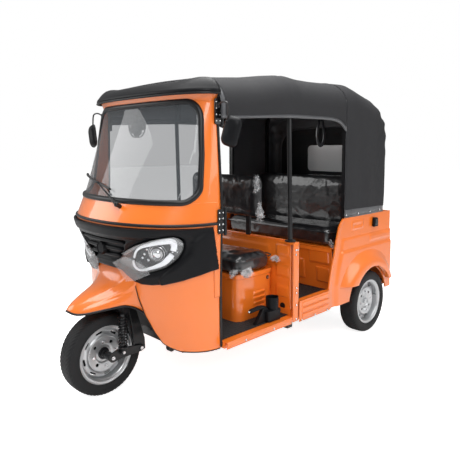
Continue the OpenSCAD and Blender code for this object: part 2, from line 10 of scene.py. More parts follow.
import bpy
import numpy as np
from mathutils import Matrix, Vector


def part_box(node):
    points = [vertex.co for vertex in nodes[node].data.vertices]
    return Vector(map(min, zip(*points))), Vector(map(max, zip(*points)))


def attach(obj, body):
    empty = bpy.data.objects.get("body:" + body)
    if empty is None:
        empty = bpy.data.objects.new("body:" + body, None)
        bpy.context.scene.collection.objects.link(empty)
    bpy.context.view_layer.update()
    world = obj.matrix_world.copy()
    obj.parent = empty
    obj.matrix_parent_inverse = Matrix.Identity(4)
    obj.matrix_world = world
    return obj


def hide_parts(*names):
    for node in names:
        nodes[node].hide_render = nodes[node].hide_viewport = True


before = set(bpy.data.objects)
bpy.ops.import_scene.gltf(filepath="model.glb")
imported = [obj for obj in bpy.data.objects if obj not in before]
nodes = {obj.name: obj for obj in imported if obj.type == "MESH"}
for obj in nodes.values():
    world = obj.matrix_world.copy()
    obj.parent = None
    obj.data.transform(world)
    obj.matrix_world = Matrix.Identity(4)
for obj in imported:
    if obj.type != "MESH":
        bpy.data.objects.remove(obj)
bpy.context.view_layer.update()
AXLE = sum(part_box("front_tyre"), start=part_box("front_tyre")[0] * 0) / 2
Y0 = AXLE.y


# %% [markdown]
# ## Camera, floor and light
# The camera stands at the front left, at an adult's eye level, and looks down a little. The floor and the
# world are white to the camera only, so that the studio stays plain and the lamps alone light the paint.

# %% Camera
scene = bpy.context.scene
scene.view_settings.view_transform = "Standard"
camera = bpy.data.objects.new("camera", bpy.data.cameras.new("camera"))
scene.collection.objects.link(camera)
scene.camera = camera
camera.location = (2.5936, Y0 - 1.5135, 1.4677)
camera.rotation_euler = (math.radians(90 - 4.78), 0, math.radians(44.83))
camera.data.sensor_width = 36
camera.data.lens = 38.92
camera.data.shift_y = -0.0876


# %% Floor, world and lamps
def node_tree(material):
    """The material's nodes and links, emptied."""
    material.use_nodes = True
    material.node_tree.nodes.clear()
    return material.node_tree.nodes, material.node_tree.links


def white_to_camera(tree, strength, colour):
    """A background that is white to the camera and to reflections seen in glass, and `colour` to
    everything else."""
    background = tree.nodes.new("ShaderNodeBackground")
    white = tree.nodes.new("ShaderNodeBackground")
    mix = tree.nodes.new("ShaderNodeMixShader")
    path = tree.nodes.new("ShaderNodeLightPath")
    either = tree.nodes.new("ShaderNodeMath")
    either.operation = "MAXIMUM"
    background.inputs["Color"].default_value = (*colour, 1)
    background.inputs["Strength"].default_value = strength
    white.inputs["Color"].default_value = (1, 1, 1, 1)
    tree.links.new(path.outputs["Is Camera Ray"], either.inputs[0])
    tree.links.new(path.outputs["Is Transmission Ray"], either.inputs[1])
    tree.links.new(either.outputs[0], mix.inputs[0])
    tree.links.new(background.outputs[0], mix.inputs[1])
    tree.links.new(white.outputs[0], mix.inputs[2])
    return mix


world = bpy.data.worlds.new("studio")
scene.world = world
world.use_nodes = True
world.node_tree.nodes.clear()
world_out = world.node_tree.nodes.new("ShaderNodeOutputWorld")
world.node_tree.links.new(white_to_camera(world.node_tree, 0.34, (1, 1, 1)).outputs[0], world_out.inputs[0])


def make_object(name, verts, faces):
    """A mesh object from arrays of points and faces."""
    mesh = bpy.data.meshes.new(name)
    mesh.from_pydata([tuple(v) for v in np.asarray(verts, float)], [], [tuple(map(int, f)) for f in faces])
    mesh.update()
    piece = bpy.data.objects.new(name, mesh)
    scene.collection.objects.link(piece)
    return piece


floor = make_object("floor", [(-30, -30, 0), (30, -30, 0), (30, 30, 0), (-30, 30, 0)], [(0, 1, 2, 3)])
floor_paint = bpy.data.materials.new("studio_floor")
fn, fl = node_tree(floor_paint)
floor_out = fn.new("ShaderNodeOutputMaterial")
floor_mix = fn.new("ShaderNodeMixShader")
floor_path = fn.new("ShaderNodeLightPath")
floor_diffuse = fn.new("ShaderNodeBsdfDiffuse")
floor_diffuse.inputs["Color"].default_value = (0.86, 0.86, 0.86, 1)
floor_glow = fn.new("ShaderNodeEmission")
floor_glow.inputs["Strength"].default_value = 0.85
floor_add = fn.new("ShaderNodeAddShader")
fl.new(floor_diffuse.outputs[0], floor_add.inputs[0])
fl.new(floor_glow.outputs[0], floor_add.inputs[1])
fl.new(floor_path.outputs["Is Camera Ray"], floor_mix.inputs[0])
fl.new(floor_diffuse.outputs[0], floor_mix.inputs[1])
fl.new(floor_add.outputs[0], floor_mix.inputs[2])
fl.new(floor_mix.outputs[0], floor_out.inputs[0])
floor.data.materials.append(floor_paint)


def soft_lamp(name, location, target, size, power):
    """A square area lamp at `location` that faces `target`."""
    lamp = bpy.data.objects.new(name, bpy.data.lights.new(name, "AREA"))
    lamp.data.shape = "RECTANGLE"
    lamp.data.size, lamp.data.size_y = size
    lamp.data.energy = power
    scene.collection.objects.link(lamp)
    lamp.location = location
    direction = Vector(target) - Vector(location)
    lamp.rotation_euler = direction.to_track_quat("-Z", "Y").to_euler()
    return lamp


soft_lamp("key", (3.6, -3.4, 4.2), (0, 0, 0.9), (2.6, 2.6), 125)
soft_lamp("overhead", (0, 0, 5.0), (0, 0, 0), (4.0, 5.0), 340)
soft_lamp("fill", (-3.5, -3.2, 2.6), (0, -0.5, 0.9), (2.5, 2.5), 48)
soft_lamp("side", (4.5, 1.6, 2.4), (0, 0.4, 0.8), (3.0, 2.0), 52)

# %% [markdown]
# ## Tools for making surfaces
# Every new piece is worked out as arrays of points: a function of two parameters on a grid, or a profile
# carried along a path. A *shape* here is a pair, its points and its faces. Shapes are collected into one
# mesh, so a bracket and its screws are one object. Smooth shading stops at real edges, found by their angle.

# %% Shapes
def grid(points, wrap_u=False, wrap_v=False):
    """A sheet through points[v, u]. Faces point along (step in u) x (step in v)."""
    points = np.asarray(points, float)
    nv, nu = points.shape[:2]
    index = np.arange(nv * nu).reshape(nv, nu)
    if wrap_u:
        index = np.concatenate([index, index[:, :1]], axis=1)
    if wrap_v:
        index = np.concatenate([index, index[:1]], axis=0)
    quads = np.stack([index[:-1, :-1], index[:-1, 1:], index[1:, 1:], index[1:, :-1]], axis=-1)
    return points.reshape(-1, 3), quads.reshape(-1, 4).tolist()


def box(low, high):
    """The eight corners and six faces between two opposite corners."""
    x, y, z = zip(low, high)
    corners = [(x[i], y[j], z[k]) for k in (0, 1) for j in (0, 1) for i in (0, 1)]
    faces = [(0, 2, 3, 1), (4, 5, 7, 6), (0, 1, 5, 4), (2, 6, 7, 3), (0, 4, 6, 2), (1, 3, 7, 5)]
    return np.array(corners, float), faces


def frames_along(path):
    """Two unit vectors across a path at each of its points, turned as little as possible from point to
    point."""
    path = np.asarray(path, float)
    along = np.gradient(path, axis=0)
    along /= np.linalg.norm(along, axis=1)[:, None]
    side = np.cross(along[0], (0, 0, 1) if abs(along[0][2]) < 0.9 else (1, 0, 0))
    across = []
    for d in along:
        side = side - d * np.dot(side, d)
        side /= np.linalg.norm(side)
        across.append((side, np.cross(d, side)))
    return np.array([a for a, b in across]), np.array([b for a, b in across])


def tube(path, radius, sides=14, flat=1.0):
    """A round bar along a path, closed at both ends; `flat` squeezes its second width."""
    path = np.asarray(path, float)
    a, b = frames_along(path)
    turn = np.linspace(0, 2 * np.pi, sides, endpoint=False)
    r = np.broadcast_to(np.asarray(radius, float), (len(path),))[:, None, None]
    ring = np.cos(turn)[None, :, None] * a[:, None] + flat * np.sin(turn)[None, :, None] * b[:, None]
    verts, faces = grid(path[:, None] + r * ring, wrap_u=True)
    last = len(verts) - sides
    faces = [tuple(reversed(range(sides)))] + faces + [tuple(range(last, last + sides))]
    return verts, faces


def bar(start, end, radius, sides=20):
    """A straight round bar between two points."""
    return tube(np.linspace(start, end, 2), radius, sides)


AXES = {"x": (1, 2, 0), "y": (2, 0, 1), "z": (0, 1, 2)}


def revolve(profile, centre, axis="x", steps=64, closed=True):
    """A profile of (radius, distance along the axis) turned once round the axis."""
    profile = np.asarray(profile, float)
    turn = np.linspace(0, 2 * np.pi, steps, endpoint=False)
    i, j, k = AXES[axis]
    points = np.zeros((len(profile), steps, 3))
    points[..., i] = profile[:, :1] * np.cos(turn)
    points[..., j] = profile[:, :1] * np.sin(turn)
    points[..., k] = profile[:, 1:]
    return grid(points + np.asarray(centre), wrap_u=True, wrap_v=closed)


def prism(outline, axis, start, end):
    """A flat outline (two coordinates a point) carried along an axis, closed at both ends."""
    outline = np.asarray(outline, float)
    i, j, k = AXES[axis]
    points = np.zeros((2, len(outline), 3))
    points[..., i] = outline[:, 0]
    points[..., j] = outline[:, 1]
    points[..., k] = np.array([[start], [end]])
    verts, faces = grid(points, wrap_u=True)
    n = len(outline)
    return verts, faces + [tuple(reversed(range(n))), tuple(range(n, 2 * n))]


def round_rect(w, h, r, centre=(0, 0), steps=6):
    """The outline of a rectangle with round corners, anticlockwise."""
    r = min(r, w / 2 - 1e-4, h / 2 - 1e-4)
    turn = np.linspace(0, np.pi / 2, steps)
    out = []
    for k, (sx, sy) in enumerate([(1, 1), (-1, 1), (-1, -1), (1, -1)]):
        a = turn + k * np.pi / 2
        out.append(np.stack([sx * (w / 2 - r) + r * np.cos(a), sy * (h / 2 - r) + r * np.sin(a)], axis=1))
    return np.concatenate(out) + np.asarray(centre)


def mirrored(shape):
    """The shape's image on the vehicle's other side, still facing outwards."""
    verts, faces = shape
    return verts * np.array([-1, 1, 1]), [tuple(reversed(f)) for f in faces]


def both(*shapes):
    """Each shape and its image on the other side."""
    return [*shapes, *[mirrored(s) for s in shapes]]


def moved(shape, offset):
    """A shape shifted by an offset."""
    return shape[0] + np.asarray(offset, float), shape[1]


def ball(centre, radius, squash=(1, 1, 1), steps=14):
    """A sphere, or an ellipsoid, from rings between two poles."""
    lat = np.linspace(-np.pi / 2, np.pi / 2, steps)
    profile = np.stack([np.cos(lat) * radius, np.sin(lat) * radius], axis=1)
    verts, faces = revolve(profile, (0, 0, 0), "z", 2 * steps, closed=False)
    return verts * np.asarray(squash) + np.asarray(centre), faces


# %% From shapes to a finished piece
def piece(name, shapes, material, body="body", replaces=(), bevel=0, wall=0, smooth=35, outward=False,
          levels=0):
    """Collects shapes into one object, gives it its finish and rides it on a body."""
    counts = np.cumsum([0] + [len(v) for v, f in shapes])
    verts = np.concatenate([v for v, f in shapes])
    faces = [tuple(i + counts[k] for i in f) for k, (v, fs) in enumerate(shapes) for f in fs]
    made = make_object(name, verts, faces)
    if outward:
        import bmesh
        mesh = bmesh.new()
        mesh.from_mesh(made.data)
        bmesh.ops.remove_doubles(mesh, verts=mesh.verts, dist=1e-5)
        bmesh.ops.recalc_face_normals(mesh, faces=mesh.faces)
        mesh.to_mesh(made.data)
        mesh.free()
    made.data.polygons.foreach_set("use_smooth", [True] * len(made.data.polygons))
    made.data.set_sharp_from_angle(angle=math.radians(smooth))
    if wall:
        solid = made.modifiers.new("wall", "SOLIDIFY")
        solid.thickness, solid.offset = wall, -1
    if bevel:
        edge = made.modifiers.new("edges", "BEVEL")
        edge.width, edge.segments, edge.limit_method = bevel, 2, "ANGLE"
        edge.angle_limit = math.radians(40)
    if levels:
        fine = made.modifiers.new("fine", "SUBSURF")
        fine.levels = fine.render_levels = levels
    made.data.materials.append(material)
    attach(made, body)
    if replaces:
        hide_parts(*replaces)
    return made


def settle(made):
    """Applies the modifiers, so that the mesh itself has the final shape."""
    graph = bpy.context.evaluated_depsgraph_get()
    made.data = bpy.data.meshes.new_from_object(made.evaluated_get(graph))
    made.modifiers.clear()
    return made


def cut(made, cutters):
    """Takes closed shapes out of a piece."""
    counts = np.cumsum([0] + [len(v) for v, f in cutters])
    verts = np.concatenate([v for v, f in cutters])
    faces = [tuple(i + counts[k] for i in f) for k, (v, fs) in enumerate(cutters) for f in fs]
    tool = make_object("cutter", verts, faces)
    cutter = made.modifiers.new("cut", "BOOLEAN")
    cutter.operation, cutter.solver, cutter.object = "DIFFERENCE", "EXACT", tool
    settle(made)
    bpy.data.objects.remove(tool)
    made.data.set_sharp_from_angle(angle=math.radians(35))
    return made


def step(x, low, high):
    """0 below `low`, 1 above `high`, and a smooth S between them."""
    t = np.clip((np.asarray(x, float) - low) / (high - low), 0, 1)
    return t * t * (3 - 2 * t)


def raised(u, v, rect, edge=0.008):
    """1 inside a rectangle (u0, u1, v0, v1), 0 outside it, with pressed sloping edges."""
    u0, u1, v0, v1 = rect
    return (step(u, u0 - edge, u0) * (1 - step(u, u1, u1 + edge))
            * step(v, v0 - edge, v0) * (1 - step(v, v1, v1 + edge)))


# %% [markdown]
# ## Finishes
# The real vehicle has few finishes: orange enamel, grained black plastic, black enamel on steel, a coated
# cloth for the canopy, vinyl seats still in their clear film, rubber, silver wheels and glass. Patterns that
# several of them share, such as a fine grain or a slow change of tone, are node groups. All of them read
# Object coordinates.

# %% Node groups shared by the finishes
def group(name, inputs, outputs):
    """An empty shader node group with named sockets; returns the tree and its two end nodes."""
    tree = bpy.data.node_groups.new(name, "ShaderNodeTree")
    for label, kind, value in inputs:
        socket = tree.interface.new_socket(label, in_out="INPUT", socket_type=kind)
        if value is not None:
            socket.default_value = value
    for label, kind in outputs:
        tree.interface.new_socket(label, in_out="OUTPUT", socket_type=kind)
    return tree, tree.nodes.new("NodeGroupInput"), tree.nodes.new("NodeGroupOutput")


def math_node(tree, operation, a, b=None):
    """A Math node fed by sockets or numbers."""
    node = tree.nodes.new("ShaderNodeMath")
    node.operation = operation
    for k, value in enumerate([a] if b is None else [a, b]):
        if isinstance(value, (int, float)):
            node.inputs[k].default_value = value
        else:
            tree.links.new(value, node.inputs[k])
    return node.outputs[0]


FLOAT, VECTOR, COLOUR = "NodeSocketFloat", "NodeSocketVector", "NodeSocketColor"

mottle, start, end = group("mottle", [("Vector", VECTOR, None), ("Colour", COLOUR, (1, 1, 1, 1)),
                                      ("Scale", FLOAT, 4.0), ("Amount", FLOAT, 0.1)], [("Colour", COLOUR)])
cloud = mottle.nodes.new("ShaderNodeTexNoise")
cloud.inputs["Detail"].default_value = 5
mottle.links.new(start.outputs["Vector"], cloud.inputs["Vector"])
mottle.links.new(start.outputs["Scale"], cloud.inputs["Scale"])
swing = math_node(mottle, "MULTIPLY", math_node(mottle, "SUBTRACT", cloud.outputs[0], 0.5),
                  start.outputs["Amount"])
tone = mottle.nodes.new("ShaderNodeVectorMath")
tone.operation = "SCALE"
mottle.links.new(start.outputs["Colour"], tone.inputs[0])
mottle.links.new(math_node(mottle, "ADD", swing, 1.0), tone.inputs["Scale"])
mottle.links.new(tone.outputs[0], end.inputs["Colour"])

grain, start, end = group("grain", [("Vector", VECTOR, None), ("Scale", FLOAT, 300.0), ("Ripple", FLOAT, 8.0),
                                    ("Share", FLOAT, 0.5)], [("Height", FLOAT)])
fine = grain.nodes.new("ShaderNodeTexNoise")
slow = grain.nodes.new("ShaderNodeTexNoise")
fine.inputs["Detail"].default_value = 3
slow.inputs["Detail"].default_value = 2
for source, label in ((fine, "Scale"), (slow, "Ripple")):
    grain.links.new(start.outputs["Vector"], source.inputs["Vector"])
    grain.links.new(start.outputs[label], source.inputs["Scale"])
blended = math_node(grain, "MULTIPLY", slow.outputs[0], start.outputs["Share"])
grain.links.new(math_node(grain, "ADD", fine.outputs[0], blended), end.inputs["Height"])

scuff, start, end = group("scuff", [("Vector", VECTOR, None), ("Roughness", FLOAT, 0.3),
                                    ("Spread", FLOAT, 0.1),
                                    ("Scale", FLOAT, 9.0)], [("Roughness", FLOAT)])
smear = scuff.nodes.new("ShaderNodeTexNoise")
smear.inputs["Detail"].default_value = 6
smear.inputs["Distortion"].default_value = 0.6
scuff.links.new(start.outputs["Vector"], smear.inputs["Vector"])
scuff.links.new(start.outputs["Scale"], smear.inputs["Scale"])
spread = math_node(scuff, "MULTIPLY", math_node(scuff, "SUBTRACT", smear.outputs[0], 0.5),
                   start.outputs["Spread"])
scuff.links.new(math_node(scuff, "ADD", start.outputs["Roughness"], spread), end.inputs["Roughness"])

weave, start, end = group("weave", [("Vector", VECTOR, None), ("Threads", FLOAT, 260.0)], [("Height", FLOAT)])
across = []
for direction in ("X", "Z"):
    wave = weave.nodes.new("ShaderNodeTexWave")
    wave.bands_direction = direction
    wave.inputs["Distortion"].default_value = 0.4
    weave.links.new(start.outputs["Vector"], wave.inputs["Vector"])
    weave.links.new(start.outputs["Threads"], wave.inputs["Scale"])
    across.append(wave.outputs["Fac"])
weave.links.new(math_node(weave, "ADD", *across), end.inputs["Height"])

crinkle, start, end = group("crinkle", [("Vector", VECTOR, None), ("Scale", FLOAT, 9.0)], [("Height", FLOAT)])
warp = crinkle.nodes.new("ShaderNodeTexNoise")
warp.inputs["Scale"].default_value = 7
warp.inputs["Detail"].default_value = 3
bend = crinkle.nodes.new("ShaderNodeVectorMath")
bend.operation = "SCALE"
bend.inputs["Scale"].default_value = 0.22
shift = crinkle.nodes.new("ShaderNodeVectorMath")
folds = crinkle.nodes.new("ShaderNodeTexNoise")
folds.noise_type = "RIDGED_MULTIFRACTAL"
folds.inputs["Detail"].default_value = 4
folds.inputs["Roughness"].default_value = 0.45
crinkle.links.new(start.outputs["Vector"], warp.inputs["Vector"])
crinkle.links.new(warp.outputs["Color"], bend.inputs[0])
crinkle.links.new(start.outputs["Vector"], shift.inputs[0])
crinkle.links.new(bend.outputs[0], shift.inputs[1])
crinkle.links.new(shift.outputs[0], folds.inputs["Vector"])
crinkle.links.new(start.outputs["Scale"], folds.inputs["Scale"])
crinkle.links.new(folds.outputs[0], end.inputs["Height"])


def finish(name, colour, rough, metallic=0.0, coat=0.0, coat_rough=0.04, tone=(3.0, 0.12), spread=0.1,
           height=("grain", 300.0, 0.15), depth=0.0004, sheen=0.0, shine=0.5):
    """A Principled shader whose colour, roughness and bump come from the shared groups."""
    made = bpy.data.materials.new(name)
    tree_nodes, links = node_tree(made)
    shader = tree_nodes.new("ShaderNodeBsdfPrincipled")
    output = tree_nodes.new("ShaderNodeOutputMaterial")
    where = tree_nodes.new("ShaderNodeTexCoord").outputs["Object"]
    links.new(shader.outputs[0], output.inputs[0])

    def use(tree, **values):
        """One shared group in this material, with its sockets set."""
        node = tree_nodes.new("ShaderNodeGroup")
        node.node_tree = tree
        links.new(where, node.inputs["Vector"])
        for label, value in values.items():
            node.inputs[label].default_value = value
        return node.outputs[0]

    links.new(use(mottle, Colour=(*colour, 1), Scale=tone[0], Amount=tone[1]), shader.inputs["Base Color"])
    links.new(use(scuff, Roughness=rough, Spread=spread), shader.inputs["Roughness"])
    bump = tree_nodes.new("ShaderNodeBump")
    bump.inputs["Strength"].default_value = height[2]
    bump.inputs["Distance"].default_value = depth
    kinds = {"grain": (grain, "Scale"), "weave": (weave, "Threads"), "crinkle": (crinkle, "Scale")}
    tree, label = kinds[height[0]]
    links.new(use(tree, **{label: height[1]}), bump.inputs["Height"])
    links.new(bump.outputs[0], shader.inputs["Normal"])
    shader.inputs["Metallic"].default_value = metallic
    shader.inputs["Specular IOR Level"].default_value = shine
    shader.inputs["Coat Weight"].default_value = coat
    shader.inputs["Coat Roughness"].default_value = coat_rough
    shader.inputs["Sheen Weight"].default_value = sheen
    made.diffuse_color = (*colour, 1)
    return made


def clear(name, colour, rough, alpha, gloss=1.0):
    """A thin clear sheet: see-through by its alpha, with the gloss of glass or film."""
    made = bpy.data.materials.new(name)
    tree_nodes, links = node_tree(made)
    shader = tree_nodes.new("ShaderNodeBsdfPrincipled")
    glossy = tree_nodes.new("ShaderNodeTexCoord").outputs["Object"]
    smudge = tree_nodes.new("ShaderNodeGroup")
    smudge.node_tree = scuff
    smudge.inputs["Roughness"].default_value = rough
    smudge.inputs["Spread"].default_value = rough
    output = tree_nodes.new("ShaderNodeOutputMaterial")
    links.new(glossy, smudge.inputs["Vector"])
    links.new(smudge.outputs[0], shader.inputs["Roughness"])
    links.new(shader.outputs[0], output.inputs[0])
    shader.inputs["Base Color"].default_value = (*colour, 1)
    shader.inputs["Alpha"].default_value = alpha
    shader.inputs["IOR"].default_value = 1.45
    shader.inputs["Coat Weight"].default_value = gloss
    made.diffuse_color = (*colour, alpha)
    return made


orange = finish("orange_enamel", (0.86, 0.185, 0.016), 0.30, coat=0.8, tone=(1.2, 0.10),
                height=("grain", 90.0, 0.06), depth=0.0006)
matt_black = finish("grained_black", (0.006, 0.0063, 0.0075), 0.42,
                    height=("grain", 900.0, 0.35),
                    shine=0.15)
gloss_black = finish("gloss_black", (0.010, 0.010, 0.011), 0.12, coat=0.6)
rubber = finish("black_rubber", (0.008, 0.008, 0.009), 0.36, height=("grain", 500.0, 0.25),
                shine=0.35)
black_steel = finish("black_enamel", (0.008, 0.008, 0.009), 0.32, coat=0.2, shine=0.35)
canopy_cloth = finish("coated_cloth", (0.044, 0.046, 0.052), 0.40, spread=0.16,
                      tone=(2.0, 0.25),
                      height=("weave", 420.0, 0.12), depth=0.0005, sheen=0.45)
lining = finish("cloth_lining", (0.012, 0.012, 0.014), 0.8, height=("weave", 300.0, 0.2))
film_vinyl = finish("vinyl_in_film", (0.012, 0.012, 0.014), 0.34, coat=1.0, coat_rough=0.07,
                    height=("crinkle", 7.0, 0.85), depth=0.012)
tyre_rubber = finish("tyre_rubber", (0.011, 0.011, 0.012), 0.62, height=("grain", 350.0, 0.4),
                     shine=0.3)
silver = finish("silver_enamel", (0.52, 0.53, 0.54), 0.30, metallic=0.75, coat=0.4,
                height=("grain", 700.0, 0.08))
bright = finish("zinc_plate", (0.72, 0.72, 0.73), 0.22, metallic=1.0)
cast = finish("cast_alloy", (0.30, 0.30, 0.31), 0.5, metallic=0.9, height=("grain", 160.0, 0.5))
ribbed_mat = finish("floor_rubber", (0.022, 0.023, 0.024), 0.55, height=("weave", 120.0, 0.8),
                    depth=0.002)
glow_white = finish("light_guide", (0.88, 0.90, 0.94), 0.18, coat=1.0)
chrome = finish("reflector", (0.80, 0.81, 0.83), 0.06, metallic=1.0)
red_lens = finish("red_plastic", (0.50, 0.015, 0.010), 0.10, coat=1.0)
amber_lens = finish("amber_lens", (0.85, 0.25, 0.01), 0.10, coat=1.0)
glass = clear("window_glass", (0.10, 0.11, 0.12), 0.02, 0.42, gloss=0.4)
lens = clear("lamp_cover", (0.9, 0.93, 0.96), 0.02, 0.12)
film = clear("loose_film", (0.95, 0.96, 0.98), 0.10, 0.22)
frost = finish("rear_film", (0.86, 0.87, 0.87), 0.25, coat=0.5)

KEPT = {
    orange: ("floor_pan",),
    black_steel: ("chassis_frame", "cabin_poles", "canopy_frame", "rear_suspension", "front_fork",
                  "handlebar"),
    matt_black: ("dashboard", "wheel_well"),
    cast: ("engine_block",),
}
for kept_finish, names in KEPT.items():
    for node_name in names:
        for place in nodes[node_name].material_slots:
            place.material = kept_finish

# %% [markdown]
# ## The nose
# The nose is one pressed shell, curved in plan like a flattened circle and leaning back from its widest line.
# A superellipse gives that plan: across, the half width times a power of the sine; ahead, the depth times the
# same power of the cosine. Each height has its own half width and depth. All panels of the nose are patches
# of this one surface, set a little in or out along its normal, so they follow each other exactly.

# %% The nose's surface
CURVE = 2.2
NOSE = np.array([  # height, half width, y of the side edge from the axle, depth ahead of that edge
    (0.310, 0.570, 0.445, 0.300), (0.500, 0.582, 0.430, 0.330), (0.700, 0.585, 0.425, 0.335),
    (1.035, 0.590, 0.430, 0.460), (1.050, 0.592, 0.430, 0.450), (1.160, 0.590, 0.430, 0.390),
    (1.240, 0.585, 0.430, 0.352), (1.740, 0.560, 0.420, 0.130), (1.775, 0.585, 0.425, 0.170)])


def nose_size(z, column, blur=0.018):
    """A column of the table at height z, averaged over a short span so that its corners are round."""
    spans = np.linspace(-blur, blur, 5)
    return np.mean([np.interp(np.clip(z + d, 0.31, 1.775), NOSE[:, 0], NOSE[:, column]) for d in spans],
                   axis=0)


def nose_raw(z, a):
    """The nose before any rounding of its edge, at a height and an angle."""
    s, c = np.sin(a), np.cos(a)
    x = np.sign(s) * nose_size(z, 1) * np.abs(s) ** (2 / CURVE)
    y = nose_size(z, 2) - nose_size(z, 3) * np.abs(c) ** (2 / CURVE)
    return np.stack(np.broadcast_arrays(x, y + Y0, z), axis=-1)


def nose_normal(z, a):
    """The unit normal, facing out."""
    z, a = np.broadcast_arrays(np.asarray(z, float), np.asarray(a, float))
    tiny = 1e-3
    inside = np.clip(a, -np.pi / 2 + 2 * tiny, np.pi / 2 - 2 * tiny)
    da = nose_raw(z, inside + tiny) - nose_raw(z, inside - tiny)
    dz = nose_raw(z + tiny, inside) - nose_raw(z - tiny, inside)
    normal = np.cross(da, dz)
    return normal / np.linalg.norm(normal, axis=-1, keepdims=True)


def nose(z, a, out=0.0):
    """Points of the nose at heights z and angles a from straight ahead, `out` metres along the outward
    normal."""
    z, a = np.broadcast_arrays(np.asarray(z, float), np.asarray(a, float))
    return nose_raw(z, a) + nose_normal(z, a) * np.asarray(out, float)[..., None]


def nose_angle(z, x):
    """The angle at which the nose is x wide at height z."""
    share = np.clip(np.abs(x) / nose_size(z, 1), 0, 1)
    return np.sign(x) * np.arcsin(share ** (CURVE / 2))


def on_nose(x, z, out=0.0):
    """The point of the nose at a given X and height."""
    x, z = np.asarray(x, float), np.asarray(z, float)
    return nose(z, nose_angle(z, x), out)


def across_nose(x, z):
    """The outward normals above points (x, z) of the nose."""
    return nose_normal(z, nose_angle(z, x))


def ribbon(path, normals, profile, closed=False, scale=1.0, cap=True):
    """A profile of (across, out) carried along a path that lies on a surface with the given normals."""
    path, normals = np.asarray(path, float), np.asarray(normals, float)
    if closed:
        along = np.roll(path, -1, axis=0) - np.roll(path, 1, axis=0)
    else:
        along = np.gradient(path, axis=0)
    along /= np.linalg.norm(along, axis=1)[:, None]
    side = np.cross(along, normals)
    side /= np.linalg.norm(side, axis=1)[:, None]
    scale = np.broadcast_to(np.asarray(scale, float), (len(path),))[:, None]
    rows = [path + side * u * scale + normals * v for u, v in profile]
    verts, faces = grid(np.stack(rows), wrap_u=closed, wrap_v=True)
    if not closed and cap:
        n = len(path)
        faces += [tuple(k * n for k in range(len(profile))),
                  tuple(k * n + n - 1 for k in reversed(range(len(profile))))]
    return verts, faces


RIGHT = np.pi / 2 - 0.004


# %% [markdown]
# ## Cowl, pillars and header
# One orange pressing carries the windscreen. Its opening has round corners, which a plain grid can't follow,
# so the grid is bent: each column's ends move along with the corner's arc.

# %% Windscreen opening
GLASS = {"low": 1.168, "high": 1.731, "corner": 0.088}


def glass_side(z):
    """Half width of the windscreen opening at height z, with round corners."""
    edge = np.interp(z, [1.168, 1.24, 1.43, 1.62, 1.731], [0.558, 0.557, 0.545, 0.523, 0.502])
    r = GLASS["corner"]
    near = np.minimum(z - GLASS["low"], GLASS["high"] - z)
    drop = r - np.sqrt(np.clip(r * r - np.clip(r - near, 0, r) ** 2, 0, None))
    return edge - drop * np.where(z < 1.45, 0.62, 0.95)


def opening_rows(n=72):
    """Heights up the opening, closer together near the corners, and its half width there."""
    t = (1 - np.cos(np.linspace(0, np.pi, n))) / 2
    z = GLASS["low"] + (GLASS["high"] - GLASS["low"]) * t
    return z, glass_side(z)


z_open, x_open = opening_rows()
side_share = np.linspace(0, 1, 12)
edge_angle = nose_angle(z_open, x_open)
pillar_angle = edge_angle[:, None] + (RIGHT - edge_angle[:, None]) * side_share[None, :]
pillar = grid(nose(z_open[:, None], pillar_angle))
all_round = np.linspace(-RIGHT, RIGHT, 97)
sill = grid(nose(np.linspace(1.022, GLASS["low"], 40)[:, None], all_round[None, :]))
header = grid(nose(np.linspace(GLASS["high"], 1.772, 8)[:, None], all_round[None, :]))
piece("nose_pressing", [sill, header, *both(pillar)], orange, replaces=["nose_shell"], wall=0.004)

# %% Rear edge of the nose, in a rubber channel, and its hinge plates
edge_z = np.linspace(0.315, 1.770, 80)
edge_line = nose(edge_z, np.full(80, RIGHT), 0.0) + np.array([0, 0.006, 0])
channel = tube(edge_line, 0.0085, 10)
plates, screws = [], []
for plate_low, plate_high in ((0.985, 1.125), (1.600, 1.745)):
    edge = nose(np.array([plate_low, plate_high]), np.full(2, RIGHT))
    x_mid = edge[:, 0].mean()
    slab = round_rect(0.052, plate_high - plate_low, 0.010, (Y0 + 0.424, (plate_low + plate_high) / 2))
    plates.append(prism(slab, "x", x_mid + 0.002, x_mid + 0.011))
    plates.append(bar((x_mid + 0.012, Y0 + 0.452, plate_low - 0.01), (x_mid + 0.012, Y0 + 0.452,
                                                                      plate_high + 0.01),
                      0.009))
    for share in (0.14, 0.38, 0.62, 0.86):
        z = plate_low + (plate_high - plate_low) * share
        screws.append(ball((x_mid + 0.011, Y0 + 0.408, z), 0.0055, (0.7, 1, 1), 8))
        screws.append(ball((x_mid + 0.011, Y0 + 0.436, z), 0.0055, (0.7, 1, 1), 8))
piece("nose_edge_rubber", both(channel), rubber)
piece("hinge_plates", both(*plates), black_steel, bevel=0.0015)
piece("hinge_screws", both(*screws), bright)


# %% [markdown]
# ## Windscreen and its rubber
# The glass fills the opening. A thick black rubber runs round it: a rounded profile carried along the
# opening's edge, which is a closed path on the nose's surface.

# %% Glass and rubber seal
pane_x = x_open[:, None] * np.linspace(-1, 1, 37)
pane_z = z_open[:, None] + 0 * pane_x
piece("windscreen_pane", [grid(on_nose(pane_x, pane_z, -0.002))], glass, replaces=["windscreen"], wall=0.003)


def even(points, n, closed=False):
    """The same path with n evenly spaced points."""
    points = np.asarray(points, float)
    if closed:
        points = np.vstack([points, points[:1]])
    length = np.concatenate([[0], np.cumsum(np.linalg.norm(np.diff(points, axis=0), axis=1))])
    s = np.linspace(0, length[-1], n, endpoint=not closed)
    return np.stack([np.interp(s, length, points[:, k]) for k in range(points.shape[1])], axis=1)


